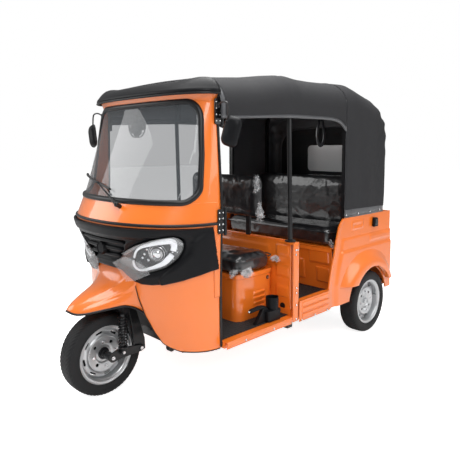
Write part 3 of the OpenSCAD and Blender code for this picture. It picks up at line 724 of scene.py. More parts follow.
top_x = np.linspace(x_open[-1], -x_open[-1], 50)[1:-1]
low_x = np.linspace(-x_open[0], x_open[0], 60)[1:-1]
loop_x = np.concatenate([x_open, top_x, -x_open[::-1], low_x])
loop_z = np.concatenate([z_open, np.full(48, z_open[-1]), z_open[::-1], np.full(58, z_open[0])])
loop = even(np.stack([loop_x, loop_z], axis=1), 300, closed=True)
loop_points = on_nose(loop[:, 0], loop[:, 1])
loop_normals = across_nose(loop[:, 0], loop[:, 1])
seal_profile = [(-0.0165, -0.004), (-0.0165, 0.003), (-0.0125, 0.008), (-0.004, 0.0115), (0.005, 0.0105),
                (0.0125, 0.0065), (0.0165, 0.001), (0.0165, -0.004)]
piece("windscreen_rubber", [ribbon(loop_points, loop_normals, seal_profile, closed=True)], rubber,
      replaces=["windscreen_seal"], outward=True, smooth=60)


# %% [markdown]
# ## Black mask, trim and grille
# A black grained moulding wraps the nose under a thin strip. Its lower edge dips beside the fender and climbs
# to the sides. The relief is one height field over the surface: a facet that turns away towards the side, a
# bowl round each headlight and a sunk panel for the grille bars.

# %% Mask
MASK_LOW = np.array([(0.0, 0.767), (0.10, 0.766), (0.135, 0.757), (0.175, 0.722), (0.215, 0.697),
                     (0.26, 0.688),
                     (0.33, 0.692), (0.40, 0.704), (0.50, 0.737), (0.56, 0.766), (0.60, 0.795)])
MASK_HIGH = 1.031
LAMP = np.array([  # the lamp's outline, as half width and height, from the inner tip over the top
    (0.130, 0.812), (0.190, 0.866), (0.270, 0.914), (0.350, 0.948), (0.420, 0.972), (0.475, 0.986),
    (0.505, 0.984),
    (0.520, 0.966), (0.522, 0.935), (0.514, 0.903), (0.496, 0.868), (0.468, 0.838), (0.430, 0.808),
    (0.350, 0.778),
    (0.280, 0.767), (0.245, 0.775), (0.205, 0.792), (0.165, 0.802)])
GRILLE = np.array([(0.245, 0.950), (0.235, 0.955), (-0.235, 0.955), (-0.245, 0.950), (-0.135, 0.812),
                   (0.135, 0.812)])


def smooth_loop(points, n):
    """A closed curve through a few points, rounded by cutting its corners three times."""
    points = np.asarray(points, float)
    for _ in range(3):
        after = np.roll(points, -1, axis=0)
        points = np.stack([0.75 * points + 0.25 * after, 0.25 * points + 0.75 * after], axis=1).reshape(-1, 2)
    return even(points, n, closed=True)


lamp_edge = smooth_loop(LAMP, 96)


def inside_distance(x, z, loop):
    """Distance to a closed outline, positive inside it, for arrays of points."""
    p = np.stack([x, z], axis=-1)
    a, b = loop, np.roll(loop, -1, axis=0)
    ab = b - a
    t = np.clip(((p[..., None, :] - a) * ab).sum(-1) / (ab * ab).sum(-1), 0, 1)
    near = np.linalg.norm(p[..., None, :] - (a + t[..., None] * ab), axis=-1).min(-1)
    crossing = ((a[:, 1] > p[..., None, 1]) != (b[:, 1] > p[..., None, 1])) & (
        p[..., None, 0] < ab[:, 0] * (p[..., None, 1] - a[:, 1]) / (ab[:, 1] + 1e-12) + a[:, 0])
    return np.where(crossing.sum(-1) % 2 == 1, near, -near)


def mask_relief(x, z):
    """How far the mask stands out from the nose at each place."""
    ax = np.abs(x)
    to_lamp = inside_distance(ax, z, lamp_edge)
    to_grille = inside_distance(x, z, GRILLE)
    fold = ax - np.interp(z, [0.74, 0.889, 0.95, 1.004], [0.387, 0.535, 0.545, 0.575])
    side_facet = 0.011 * step(fold, -0.004, 0.010)
    ledge = 0.010 * step(z, 0.962, 0.986) * (1 - step(ax, 0.50, 0.57)) * step(ax, 0.0, 0.001)
    bowl = 0.009 * step(to_lamp, -0.034, -0.016) + 0.022 * step(to_lamp, -0.014, 0.004)
    lip = 0.006 * np.exp(-((z - 0.779) / 0.015) ** 2) * (1 - step(ax, 0.10, 0.15))
    sunk = 0.018 * step(to_grille, -0.004, 0.010)
    return 0.011 + side_facet + ledge + lip - bowl - sunk


mask_s = np.linspace(-1, 1, 190)
mask_x_low = np.sign(mask_s) * 0.592 * np.abs(mask_s) ** 0.9
mask_low_z = np.interp(np.abs(mask_x_low), MASK_LOW[:, 0], MASK_LOW[:, 1])
mask_t = np.linspace(0, 1, 64)[:, None]
mask_z = mask_low_z * (1 - mask_t) + MASK_HIGH * mask_t
mask_a = np.clip(nose_angle(mask_z, np.clip(mask_x_low, -0.5855, 0.5855)[None, :] + 0 * mask_z), -RIGHT,
                 RIGHT)
mask_xx = nose(mask_z, mask_a)[..., 0]
edge_tuck = 0.010 * (1 - step(mask_t, 0.0, 0.022)) + 0.017 * step(mask_t, 0.985, 1.0) + 0 * mask_z
mask_points = nose(mask_z, mask_a, mask_relief(mask_xx, mask_z) - edge_tuck)
piece("nose_mask", [grid(mask_points)], matt_black, replaces=["front_mask"], wall=0.004, smooth=50)

# %% Trim strip
turn12 = np.linspace(0, 2 * np.pi, 12, endpoint=False)
trim_a = np.linspace(-RIGHT, RIGHT, 121)
strip_path = nose(1.0455, trim_a, 0.002)
strip_profile = [(0.0085 * np.cos(t), 0.009 * np.sin(t)) for t in turn12]
piece("nose_strip", [ribbon(strip_path, nose_normal(1.0455, trim_a), strip_profile)], rubber,
      replaces=["nose_trim"], outward=True, smooth=60)

# %% Grille bars and blank disc
bars = []
for bar_z, half in ((0.933, 0.222), (0.889, 0.192), (0.847, 0.160)):
    xs = np.linspace(-half, half, 80)
    taper = np.clip(1 - (np.abs(xs) / half) ** 10, 0.03, 1) ** 0.5
    profile = [(0.0125 * np.cos(t), 0.013 * np.sin(t) - 0.004) for t in turn12]
    bars.append(ribbon(on_nose(xs, np.full(80, bar_z)), across_nose(xs, np.full(80, bar_z)), profile,
                       scale=taper))
disc_centre = on_nose(0.0, 0.880, 0.0)
disc_profile = [(0.0005, -0.020), (0.030, -0.019), (0.033, -0.015), (0.0335, -0.022), (0.037, -0.022),
                (0.039, -0.018), (0.039, 0.012), (0.0005, 0.012)]
bars.append(revolve(disc_profile, disc_centre, "y", 56, closed=False))
piece("grille_bars", bars, matt_black, replaces=["front_grille"], outward=True, smooth=50)


# %% [markdown]
# ## Headlights
# Each lamp is built like the real one. A dark bowl fills the outline, a projector lens sits in it, two white
# light guides form a broken ring, and a clear cover closes it flush with the mask. Everything is placed by
# its half width and height on the nose, then mirrored.

# %% Lamp bowls, guides, projectors and covers
def lamp_fan(n_rings, centre, edge, outs):
    """Rings that shrink from an outline to a centre, each at its own distance out of the nose."""
    centre = np.asarray(centre)
    shares = np.linspace(0.999, 0.02, n_rings)
    rings = []
    for share, out in zip(shares, np.interp(1 - shares, np.linspace(0, 1, len(outs)), outs)):
        ring = centre + (edge - centre) * share
        rings.append(on_nose(ring[:, 0], ring[:, 1], out))
    return grid(np.stack(rings), wrap_u=True)


def guide(points, widths, out, thick=0.006, n=60):
    """A light guide: a rounded bar on the nose through points (x, z), with its own half width at each."""
    points = np.asarray(points, float)
    for _ in range(2):
        mid = np.stack([0.75 * points[:-1] + 0.25 * points[1:], 0.25 * points[:-1] + 0.75 * points[1:]],
                       axis=1)
        points = np.vstack([points[:1], mid.reshape(-1, 2), points[-1:]])
    path = even(points, n)
    width = np.interp(np.linspace(0, 1, n), np.linspace(0, 1, len(widths)), widths)
    profile = [(np.sign(np.cos(t)) * abs(np.cos(t)) ** 0.6,
                thick * np.sign(np.sin(t)) * abs(np.sin(t)) ** 0.6)
               for t in turn12]
    return ribbon(on_nose(path[:, 0], path[:, 1], out), across_nose(path[:, 0], path[:, 1]), profile,
                  scale=width)


lamp_mid = np.array((0.385, 0.872))
bowl = lamp_fan(12, lamp_mid, lamp_edge, [-0.004, -0.014, -0.026, -0.030, -0.030])
upper_guide = guide([(0.262, 0.853), (0.286, 0.893), (0.322, 0.920), (0.392, 0.944), (0.455, 0.960),
                     (0.486, 0.963),
                     (0.493, 0.945), (0.482, 0.908)], [0.006, 0.0065, 0.008, 0.010, 0.013, 0.016, 0.017,
                                                       0.017], 0.000)
lower_guide = guide([(0.474, 0.885), (0.452, 0.856), (0.420, 0.826), (0.350, 0.797), (0.282, 0.776),
                     (0.250, 0.784),
                     (0.240, 0.806), (0.247, 0.832)], [0.016, 0.017, 0.013, 0.010, 0.008, 0.0065, 0.006,
                                                       0.005], 0.000)
piece("lamp_bowls", both(bowl), gloss_black, replaces=["headlight_left", "headlight_right"])
piece("lamp_guides", both(upper_guide, lower_guide), glow_white, outward=True, smooth=60)

eye = np.array((0.400, 0.880))
eye_at, eye_out = on_nose(*eye, -0.022), across_nose(*eye)
tilt = Vector(eye_out).to_track_quat("Z", "Y").to_matrix()
turn_eye = np.array([list(row) for row in tilt])


def on_eye(shape):
    """Turns a shape made round Z at the origin to sit in the bowl, facing out."""
    return shape[0] @ turn_eye.T + eye_at, shape[1]


lens_profile = [(0.0004, 0.024), (0.010, 0.0232), (0.018, 0.0205), (0.024, 0.015), (0.027, 0.008),
                (0.027, 0.0)]
ring_profile = [(0.027, 0.004), (0.028, 0.015), (0.031, 0.017), (0.034, 0.015), (0.036, 0.002),
                (0.036, -0.006)]
ring_two = [(0.040, -0.004), (0.041, 0.006), (0.0435, 0.007), (0.0455, 0.005), (0.046, -0.006)]
ring_three = [(0.051, -0.006), (0.052, 0.001), (0.054, 0.002), (0.056, 0.0), (0.057, -0.008)]
piece("lamp_projectors", both(on_eye(revolve(lens_profile, (0, 0, 0), "z", 40, closed=False))), chrome,
      outward=True)
piece("lamp_rings", both(*[on_eye(revolve(p, (0, 0, 0), "z", 48, closed=False))
                           for p in (ring_profile, ring_two, ring_three)]), bright, outward=True)
facets = []
for row, z in enumerate(np.linspace(0.800, 0.958, 9)):
    for x in np.linspace(0.478, 0.516, 3) - 0.016 * max(0, (0.87 - z) / 0.07):
        if inside_distance(np.array(x), np.array(z), lamp_edge) > 0.006:
            facets.append(ball(on_nose(x, z, -0.006), 0.0075, (1, 1, 0.8), 5))
for x, z in ((0.320, 0.870), (0.335, 0.835), (0.345, 0.900), (0.300, 0.845)):
    facets.append(ball(on_nose(x, z, -0.024), 0.010, (1, 1, 1), 6))
piece("lamp_facets", both(*facets), chrome, smooth=5)
cover = lamp_fan(10, lamp_mid, lamp_edge, [0.004, 0.010, 0.014, 0.016, 0.017])
piece("lamp_covers", both(cover), lens)
rim_normals = across_nose(lamp_edge[:, 0], lamp_edge[:, 1])
rim = ribbon(on_nose(lamp_edge[:, 0], lamp_edge[:, 1], 0.002), rim_normals,
             [(0.003 * np.cos(t), 0.006 * np.sin(t)) for t in turn12], closed=True)
piece("lamp_rims", both(rim), gloss_black, outward=True, smooth=60)


def crumpled(edge_low, edge_high, depth, seed, n=(40, 16)):
    """A sheet of loose film between two edges on the nose, creased by a sum of folded waves."""
    u = np.linspace(0, 1, n[0])
    low, high = even(edge_low, n[0]), even(edge_high, n[0])
    v = np.linspace(0, 1, n[1])[:, None, None]
    flat = low * (1 - v) + high * v
    folds = np.zeros(flat.shape[:2])
    random = np.random.default_rng(seed)
    for _ in range(7):
        kx, kz, phase = random.uniform(3, 16), random.uniform(-14, 14), random.uniform(0, 6)
        folds += np.abs(np.sin(kx * u[None, :] * 3 + kz * v[..., 0] * 2 + phase)) / 7
    rise = depth * folds * np.sin(np.pi * np.clip(v[..., 0], 0.04, 0.96)) ** 0.3
    return grid(on_nose(flat[..., 0], flat[..., 1], 0.012 + rise))


lamp_film = crumpled([(0.084, 0.804), (0.118, 0.750), (0.146, 0.690), (0.235, 0.716), (0.345, 0.768)],
                     [(0.086, 0.808), (0.150, 0.836), (0.215, 0.862), (0.280, 0.842), (0.350, 0.800)],
                     0.014, 3)
top_film = crumpled([(0.215, 0.868), (0.300, 0.912), (0.400, 0.952), (0.480, 0.972), (0.512, 0.940)],
                    [(0.190, 0.876), (0.290, 0.926), (0.400, 0.970), (0.495, 0.990), (0.524, 0.950)], 0.008,
                    5)
piece("lamp_film", both(lamp_film, top_film), film)

# %% [markdown]
# ## Front fender, leg shields and visor
# The fender is a shell whose cross-section is an arch that changes along its length. A table gives each
# section: where its lower edge and its crest lie, how wide it is and how square the arch. A Catmull-Rom curve
# joins the sections. Two creases run down its side, so a sharp ridge is added to the arch's height there.

# %% Fender
def through(table, n):
    """A smooth curve through the rows of a table: Catmull-Rom, with mirrored ends."""
    table = np.asarray(table, float)
    padded_rows = np.vstack([2 * table[0] - table[1], table, 2 * table[-1] - table[-2]])
    s = np.linspace(0, len(table) - 1, n)
    k = np.minimum(s.astype(int), len(table) - 2)
    t = (s - k)[:, None]
    p0, p1, p2, p3 = (padded_rows[k + i] for i in range(4))
    return 0.5 * (2 * p1 + (p2 - p0) * t + (2 * p0 - 5 * p1 + 4 * p2 - p3) * t ** 2
                  + (3 * p1 - p0 - 3 * p2 + p3) * t ** 3)


FENDER = [  # y at the edge, y at the crest, half width, edge height, crest height, squareness
    (-0.207, -0.207, 0.004, 0.543, 0.545, 2.0), (-0.200, -0.199, 0.036, 0.538, 0.558, 2.0),
    (-0.180, -0.178, 0.062, 0.534, 0.577, 2.1), (-0.140, -0.138, 0.090, 0.536, 0.598, 2.2),
    (-0.090, -0.088, 0.116, 0.543, 0.622, 2.2), (-0.040, -0.036, 0.138, 0.549, 0.643, 2.3),
    (0.010, 0.012, 0.157, 0.554, 0.664, 2.4), (0.055, 0.046, 0.176, 0.556, 0.684, 2.6),
    (0.095, 0.068, 0.194, 0.544, 0.708, 3.0), (0.135, 0.080, 0.209, 0.520, 0.738, 3.6),
    (0.165, 0.088, 0.221, 0.492, 0.772, 4.4)]
rows = through(FENDER, 70)
arch = np.linspace(-np.pi / 2, np.pi / 2, 81)
power = 2 / rows[:, 5:6]
fx = np.sign(np.sin(arch)) * rows[:, 2:3] * np.abs(np.sin(arch)) ** power
fh = np.abs(np.cos(arch)) ** power
along_fender = np.linspace(0, 1, 70)[:, None]
for place, width, height, begins in ((0.60, 0.10, 0.010, 0.35), (1.02, 0.14, 0.012, 0.25)):
    ridge = np.clip(1 - np.abs(np.abs(arch) - place - 0.12 * (along_fender - 0.8)) / width, 0, 1)
    push = height * ridge * step(along_fender, begins, 0.95)
    fx = fx + np.sign(arch) * push * np.abs(np.sin(arch))
    fh = fh + push / (rows[:, 4:5] - rows[:, 3:4]) * 0.7 * np.abs(np.cos(arch))
fz = rows[:, 3:4] + (rows[:, 4:5] - rows[:, 3:4]) * fh
fy = rows[:, 0:1] + (rows[:, 1:2] - rows[:, 0:1]) * np.clip(fh, 0, 1) + Y0
fender_points = np.stack([fx, fy, fz], axis=-1)
piece("fender_shell", [grid(fender_points)], orange, replaces=["front_fender"], wall=0.004)
lip_path = np.vstack([fender_points[::-1, 0], fender_points[1:, -1]])
lip_path = even(lip_path, 150) + np.array([0, 0, -0.002])
piece("fender_lip", [tube(lip_path, 0.0065, 10)], rubber)
seam_path = even(fender_points[-1], 80) + np.array([0, 0.002, 0])
piece("fender_seam", [tube(seam_path, 0.0028, 8)], rubber)

# %% [markdown]
# Each shield continues the nose downwards and ends in a curve that clears the wheel.

# %% Leg shields
ARCH = np.array([(0.306, 0.452), (0.322, 0.395), (0.345, 0.352), (0.400, 0.318), (0.500, 0.272),
                 (0.600, 0.226),
                 (0.706, 0.196)])
shield_s = np.linspace(0, 1, 45)
shield_t = np.linspace(0, 1, 50)
shield_z = 0.306 + 0.406 * shield_s
inner = nose_angle(shield_z, np.interp(shield_z, ARCH[:, 0], ARCH[:, 1]))
shield_a = inner[:, None] + (RIGHT - inner[:, None]) * shield_t[None, :]
shield_top = np.interp(on_nose(0.585 * np.sin(shield_a[-1]) ** 0.9, 0.75 + 0 * shield_a[-1])[..., 0],
                       MASK_LOW[:, 0],
                       MASK_LOW[:, 1]) + 0.016
shield_zz = 0.306 + (shield_top - 0.306)[None, :] * shield_s[:, None]
shield = grid(nose(shield_zz, shield_a))
piece("leg_shield_panels", both(shield), orange, replaces=["leg_shields"], wall=0.003)
hem_path = nose(shield_z, inner, -0.002)
hem_low = nose(np.full(30, 0.306), np.linspace(inner[0], RIGHT, 30), -0.002)
piece("leg_shield_hem", both(tube(even(np.vstack([hem_path[::-1], hem_low]), 90), 0.004, 8)), rubber)
strip_z = np.linspace(0.62, 1.045, 50)[:, None]
strip_a = RIGHT - np.linspace(0.10, 0, 8)[None, :]
piece("door_edge_strips", both(grid(nose(strip_z, strip_a, 0.004))), orange, wall=0.002)
flap = prism([(Y0 + 0.215, 0.330), (Y0 + 0.300, 0.268), (Y0 + 0.400, 0.318), (Y0 + 0.400, 0.420),
              (Y0 + 0.215, 0.420)],
             "x", 0.396, 0.402)
piece("splash_flaps", both(flap), matt_black)

# %% Visor
VISOR = [  # height, half width, depth ahead of the nose's rear edge
    (1.7735, 0.592, 0.182), (1.782, 0.596, 0.187), (1.793, 0.593, 0.185), (1.804, 0.586, 0.176),
    (1.820, 0.575, 0.158), (1.835, 0.560, 0.134), (1.847, 0.538, 0.104), (1.855, 0.494, 0.062),
    (1.858, 0.30, 0.02)]
visor_rows = through(VISOR, 36)
visor_a = np.linspace(-np.pi / 2, np.pi / 2, 71)
vx = np.sign(np.sin(visor_a)) * visor_rows[:, 1:2] * np.abs(np.sin(visor_a)) ** (2 / 2.6)
vy = 0.426 - visor_rows[:, 2:3] * np.abs(np.cos(visor_a)) ** (2 / 2.6) + Y0
swell = 0.014 * np.exp(-((np.abs(vx) - 0.47) / 0.09) ** 2) * step(visor_rows[:, 0:1], 1.80, 1.86)
crown_up = 0.010 * step(visor_rows[:, 0:1], 1.80, 1.862) * (1 - (np.abs(vx) / 0.6) ** 2)
vz = visor_rows[:, 0:1] + 0 * vx + swell + crown_up * 0.4
visor_skin = grid(np.stack([vx, vy, vz], axis=-1))
piece("visor_peak", [visor_skin], matt_black, replaces=["roof_visor"], wall=0.004)
visor_lip = np.stack([vx[0], vy[0] - 0.002, vz[0] - 0.003], axis=-1)
piece("visor_bead", [tube(even(visor_lip, 120), 0.0065, 10)], rubber)

# %% [markdown]
# ## Canopy
# The canopy is one cloth in two cuts: the roof over the cabin, and the rear that wraps down to the waist.
# Both are arches in cross-section whose height, width and lower edge change along the vehicle. The cloth
# rises over each bow and sags between bows, and it wrinkles where it is pulled to a corner.

# %% Canopy cloth
def arch_across(width, top, low, r=0.2, n=(18, 18, 30)):
    """An arch from the left foot over the shoulders to the right foot, as (x, z) pairs for arrays of rows."""
    width, top, low = (np.asarray(v, float)[:, None] for v in (width, top, low))
    squash = 0.86
    r = np.minimum(r, width * 0.9)
    up = np.linspace(0, 1, n[0])[None, :-1] ** 0.9
    turn = np.linspace(np.pi, np.pi / 2, n[1])[None, :-1]
    flat = np.linspace(-1, 1, n[2])[None, :]
    x = np.concatenate([-width + 0 * up, -width + r + r * np.cos(turn), flat * (width - r)], axis=1)
    z = np.concatenate([low + (top - r * squash - low) * up, top - r * squash * (1 - np.sin(turn)),
                        top + 0.010 * (1 - flat ** 2) + 0 * width], axis=1)
    count = n[0] + n[1] - 2
    return (np.concatenate([x, -x[:, :count][:, ::-1]], axis=1),
            np.concatenate([z, z[:, :count][:, ::-1]], axis=1))


CROWN = np.array([(0.420, 1.868), (0.600, 1.886), (0.750, 1.900), (0.925, 1.926), (1.075, 1.945),
                  (1.120, 1.946),
                  (1.300, 1.938), (1.480, 1.938), (1.600, 1.942), (1.700, 1.948), (1.830, 1.953),
                  (1.900, 1.938),
                  (2.000, 1.912), (2.100, 1.886), (2.170, 1.873), (2.205, 1.857), (2.240, 1.824),
                  (2.280, 1.782),
                  (2.315, 1.742), (2.338, 1.700), (2.352, 1.640)])
VALANCE = np.array([(0.420, 1.640), (0.60, 1.646), (0.85, 1.660), (1.06, 1.668), (1.40, 1.672), (1.50, 1.671),
                    (1.57, 1.664), (1.62, 1.650), (1.66, 1.628), (1.69, 1.598)])


def wrinkle(points, strength, seed):
    """Folds in cloth: a sum of slow waves, each across its own direction."""
    random = np.random.default_rng(seed)
    total = np.zeros(points.shape[:-1])
    for _ in range(10):
        direction = random.normal(size=3)
        direction /= np.linalg.norm(direction)
        total += np.sin(points @ direction * random.uniform(14, 42) + random.uniform(0, 6.28))
    return strength * total / 10


def push_out(points, amount):
    """Moves a grid of points along its own normals."""
    du, dv = np.gradient(points, axis=1), np.gradient(points, axis=0)
    normal = np.cross(du, dv)
    normal /= np.linalg.norm(normal, axis=-1, keepdims=True) + 1e-12
    return points + normal * np.asarray(amount)[..., None]


def cloth_size(points):
    """The sheet's cut: its widest girth, its longest length, and its area."""
    girth = np.linalg.norm(np.diff(points, axis=1), axis=2).sum(1).max()
    length = np.linalg.norm(np.diff(points, axis=0), axis=2).sum(0).max()
    a = points[1:, 1:] - points[:-1, :-1]
    b = points[1:, :-1] - points[:-1, 1:]
    area = 0.5 * np.linalg.norm(np.cross(a, b), axis=2).sum()
    return round(float(girth), 3), round(float(length), 3), round(float(min(area, girth * length)), 3)


roof_y = np.concatenate([np.linspace(0.424, 1.60, 80), np.linspace(1.61, 1.699, 14)])
roof_top = np.interp(roof_y, CROWN[:, 0], CROWN[:, 1])
roof_x, roof_z = arch_across(np.full(94, 0.604), roof_top, np.interp(roof_y, VALANCE[:, 0], VALANCE[:, 1]))
roof = np.stack([roof_x, np.broadcast_to(roof_y[:, None] + Y0, roof_x.shape), roof_z], axis=-1)
high_up = step(roof_z, 1.66, 1.80)
near_bow = np.exp(-((roof_y[:, None] - 1.10) / 0.10) ** 2) + np.exp(-((roof_y[:, None] - 1.70) / 0.08) ** 2)
bow_lift = 0.005 * np.exp(-((roof_y[:, None] - 1.10) / 0.022) ** 2)
roof = push_out(roof, -(bow_lift * high_up + wrinkle(roof, 0.006, 4) * (0.35 + near_bow)))
roof = roof[:, ::-1]
roof_shape = grid(roof)
roof_cloth = piece("canopy_roof_cloth", [roof_shape], canopy_cloth, replaces=["canopy_roof"], wall=0.002,
                   smooth=70)

rear_y = np.concatenate([np.linspace(1.700, 2.19, 46), np.linspace(2.20, 2.352, 30)])
rear_top = np.interp(rear_y, CROWN[:, 0], CROWN[:, 1])
rear_w = np.interp(rear_y, [1.70, 1.83, 2.05, 2.20, 2.27, 2.30, 2.325, 2.342, 2.352],
                   [0.604, 0.610, 0.610, 0.606, 0.601, 0.594, 0.580, 0.556, 0.520])
rear_x, rear_z = arch_across(rear_w, rear_top, np.full(76, 0.950), n=(40, 20, 30))
rear = np.stack([rear_x, np.broadcast_to(rear_y[:, None] + Y0, rear_x.shape), rear_z], axis=-1)
corner = np.exp(-((rear_y[:, None] - 2.27) / 0.10) ** 2) * step(rear_z, 1.35, 1.60)
folds = 0.007 * corner * np.sin((rear_z - 0.7 * rear_y[:, None]) * 46 + 1.0)
flute = 0.004 * np.sin(rear_y[:, None] * 24) * (1 - step(rear_z, 1.5, 1.7)) * step(rear_z, 0.96, 1.15)
rear = push_out(rear, -(wrinkle(rear, 0.007, 9) * (0.35 + 0.8 * corner) + folds
                        + flute) * step(rear_y[:, None], 1.70, 1.76))
rear = rear[:, ::-1]
back_u = np.linspace(0, 1, 41)[None, :, None]
half = rear.shape[1] // 2
left_edge, right_edge = rear[-1, :half], rear[-1, ::-1][:half]
back = left_edge[:, None] * (1 - back_u) + right_edge[:, None] * back_u
belly = 0.008 * np.sin(np.pi * back_u[..., 0]) * np.sin(np.pi * np.linspace(0, 1, half))[:, None] ** 0.5
back[..., 1] += belly + 0.002
rear_cloth = piece("canopy_rear_cloth", [grid(rear), grid(back[:, ::-1])], canopy_cloth,
                   replaces=["canopy_rear"],
                   wall=0.002, smooth=70, outward=True)

# %% [markdown]
# The hems and seams are thin tubes that follow rows of the cloth, so they stay on it.

# %% Lining, binding, seams and rivets
inner_roof = push_out(roof, np.full(roof.shape[:2], -0.006))
inner_rear = push_out(rear, np.full(rear.shape[:2], -0.006))
inner_back = back[:, ::-1] - np.array([0, 0.008, 0])
roof_lining = piece("canopy_roof_lining", [grid(inner_roof[2:-1:2, 2:-2:2][:, ::-1])], lining, smooth=70)
rear_lining = piece("canopy_rear_lining", [grid(inner_rear[::2, 2:-2:2][:, ::-1]),
                                           grid(inner_back[::2, ::-2])], lining,
                    smooth=70)


bindings = []
for column in (0, -1):
    edge_path = even(roof[:, column], 140) + np.array([0, 0, -0.001])
    bindings.append(tube(edge_path, 0.0065, 10))
hem_line = even(np.vstack([rear[:, 0], back[0, 1:-1], rear[::-1, -1]]), 220)
bindings.append(tube(hem_line, 0.005, 8))
seams = [tube(even(push_out(roof, np.full(roof.shape[:2], 0.0005))[row], 160), 0.0028, 6) for row in (0, -1)]
seams += [tube(even(push_out(rear, np.full(rear.shape[:2], 0.0005))[row], 200), 0.0026, 6)
          for row in (8, 47, 66)]
fold_row = int(np.argmin(np.abs(roof_y - 1.10)))
seams.append(tube(even(roof[fold_row], 160), 0.0022, 6))
roof_binding = piece("canopy_binding", bindings + seams, canopy_cloth)
rivets = []
for y in (1.725, 1.885, 2.055, 2.225, 2.335):
    k = int(np.argmin(np.abs(rear_y - y)))
    for column, side in ((0, 1), (-1, -1)):
        spot = rear[k, column] + np.array([side * 0.003 * np.sign(rear[k, column][0]) * side, 0, 0.016])
        rivets.append(ball(spot, 0.0065, (0.6, 1, 1), 9))
for x in (-0.42, -0.14, 0.14, 0.42):
    rivets.append(ball((x, Y0 + 2.362, 0.966), 0.0065, (1, 0.6, 1), 9))
canopy_rivets = piece("canopy_rivets", rivets, bright)

width, length, area = cloth_size(roof)
print("roof cloth", width, length, area)
width, length, area = cloth_size(rear)
back_size = cloth_size(back)
area = round(area + back_size[2], 3)
print("rear cloth", width, length, area)

# %% Rear window
window_outline = round_rect(0.419, 0.249, 0.045, (0, 1.375), 10)
panes = []
for y in (2.3445, 2.366):
    panes.append(prism(window_outline[:, ::-1], "y", Y0 + y, Y0 + y + 0.002))
piece("rear_window_panes", panes, frost, replaces=["rear_window"], outward=True)
rims = []
for y in (2.3435, 2.3685):
    path = np.stack([window_outline[:, 0], np.full(len(window_outline), Y0 + y), window_outline[:, 1]],
                    axis=1)
    path = np.vstack([path, path[:2]])
    rims.append(tube(even(path, 120), 0.005, 8))
piece("rear_window_binding", rims, lining)

# %% Hand straps
loops = []
for x in (0.45, -0.45):
    t = np.linspace(0, 2 * np.pi, 80)
    drop = (1 + np.cos(t)) / 2
    strap = np.stack([x + 0 * t, Y0 + 1.60 + 0.045 * np.sin(t) * (1 - drop) ** 0.55 * 1.35,
                      1.49 + 0.22 * drop], axis=1)
    loops.append(tube(strap, 0.016, 12, 0.14))
piece("hand_straps", loops, film_vinyl)

# %% [markdown]
# ## Seats
# Each pad starts as a rounded block a little smaller than its construction solid. Cloth simulation under
# pressure swells it: the flat faces crown and the sides pull in between the corners. The seats still wear the
# clear film they were delivered in, which is a crinkled, glossy skin, so after the simulation fine folds are
# pressed into the pad.

# %% Pads
def pad(name, node, material, shrink=0.010, voxel=0.0145, swell=0.016, fold=0.004, seed=1, low_high=None):
    """A cushion swollen from a rounded block, with the folds of its film."""
    low, high = low_high or [np.array(v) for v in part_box(node)]
    low, high = np.array(low) + shrink, np.array(high) - shrink
    size, middle = high - low, (high + low) / 2
    thin = int(np.argmin(size))
    axis = "xyz"[thin]
    i, j, k = AXES[axis]
    r = 0.055
    levels = np.array([0.0, 0.10, 0.35, 0.65, 0.90, 1.0])
    tuck = np.array([0.014, 0.003, 0.0, 0.0, 0.003, 0.014])
    rings = []
    for level, inset in zip(levels, tuck):
        outline = round_rect(size[i] - 2 * inset, size[j] - 2 * inset, r, (middle[i], middle[j]), 8)
        ring = np.zeros((len(outline), 3))
        ring[:, i], ring[:, j] = outline[:, 0], outline[:, 1]
        ring[:, k] = low[k] + size[k] * level
        rings.append(ring)
    verts, faces = grid(np.stack(rings), wrap_u=True)
    n = len(rings[0])
    last = len(verts) - n
    faces = faces + [tuple(reversed(range(n))), tuple(range(last, last + n))]
    made = make_object(name, verts, faces)
    net = made.modifiers.new("even", "REMESH")
    net.mode, net.voxel_size = "VOXEL", voxel
    settle(made)
    start = np.empty(len(made.data.vertices) * 3)
    made.data.vertices.foreach_get("co", start)
    start = start.reshape(-1, 3)
    moved_to = start.copy()
    swelling = made.modifiers.new("swell", "CLOTH")
    swelling.settings.use_pressure = True
    swelling.settings.uniform_pressure_force = 4.0
    swelling.settings.quality = 4
    swelling.settings.effector_weights.gravity = 0.0
    swelling.collision_settings.use_collision = False
    for number in range(1, 15):
        scene.frame_set(number)
    graph = bpy.context.evaluated_depsgraph_get()
    swollen = made.evaluated_get(graph).to_mesh()
    moved_to = np.empty(len(swollen.vertices) * 3)
    swollen.vertices.foreach_get("co", moved_to)
    moved_to = moved_to.reshape(-1, 3)
    made.modifiers.clear()
    scene.frame_set(1)
    shift = moved_to - start
    reach = np.linalg.norm(shift, axis=1, keepdims=True)
    shift *= np.minimum(1, swell / np.maximum(reach, 1e-9))
    result = start + shift
    made.data.vertices.foreach_set("co", result.ravel())
    made.data.update()
    normals = np.empty(len(result) * 3)
    made.data.vertices.foreach_get("normal", normals)
    normals = normals.reshape(-1, 3)
    random = np.random.default_rng(seed)
    crease = np.zeros(len(result))
    for _ in range(9):
        direction = random.normal(size=3)
        direction /= np.linalg.norm(direction)
        warp = 1.4 * np.sin(result @ random.normal(size=3) * 9 + random.uniform(0, 6))
        crease += (1 - np.abs(np.sin(result @ direction * random.uniform(9, 24) + warp))) ** 5
    result = result + normals * (fold * (crease / 3 - 0.35))[:, None]
    made.data.vertices.foreach_set("co", result.ravel())
    made.data.polygons.foreach_set("use_smooth", [True] * len(made.data.polygons))
    made.data.update()
    fine = made.modifiers.new("fine", "SUBSURF")
    fine.levels = fine.render_levels = 1
    made.data.materials.append(material)
    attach(made, "body")
    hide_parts(node)
    return made


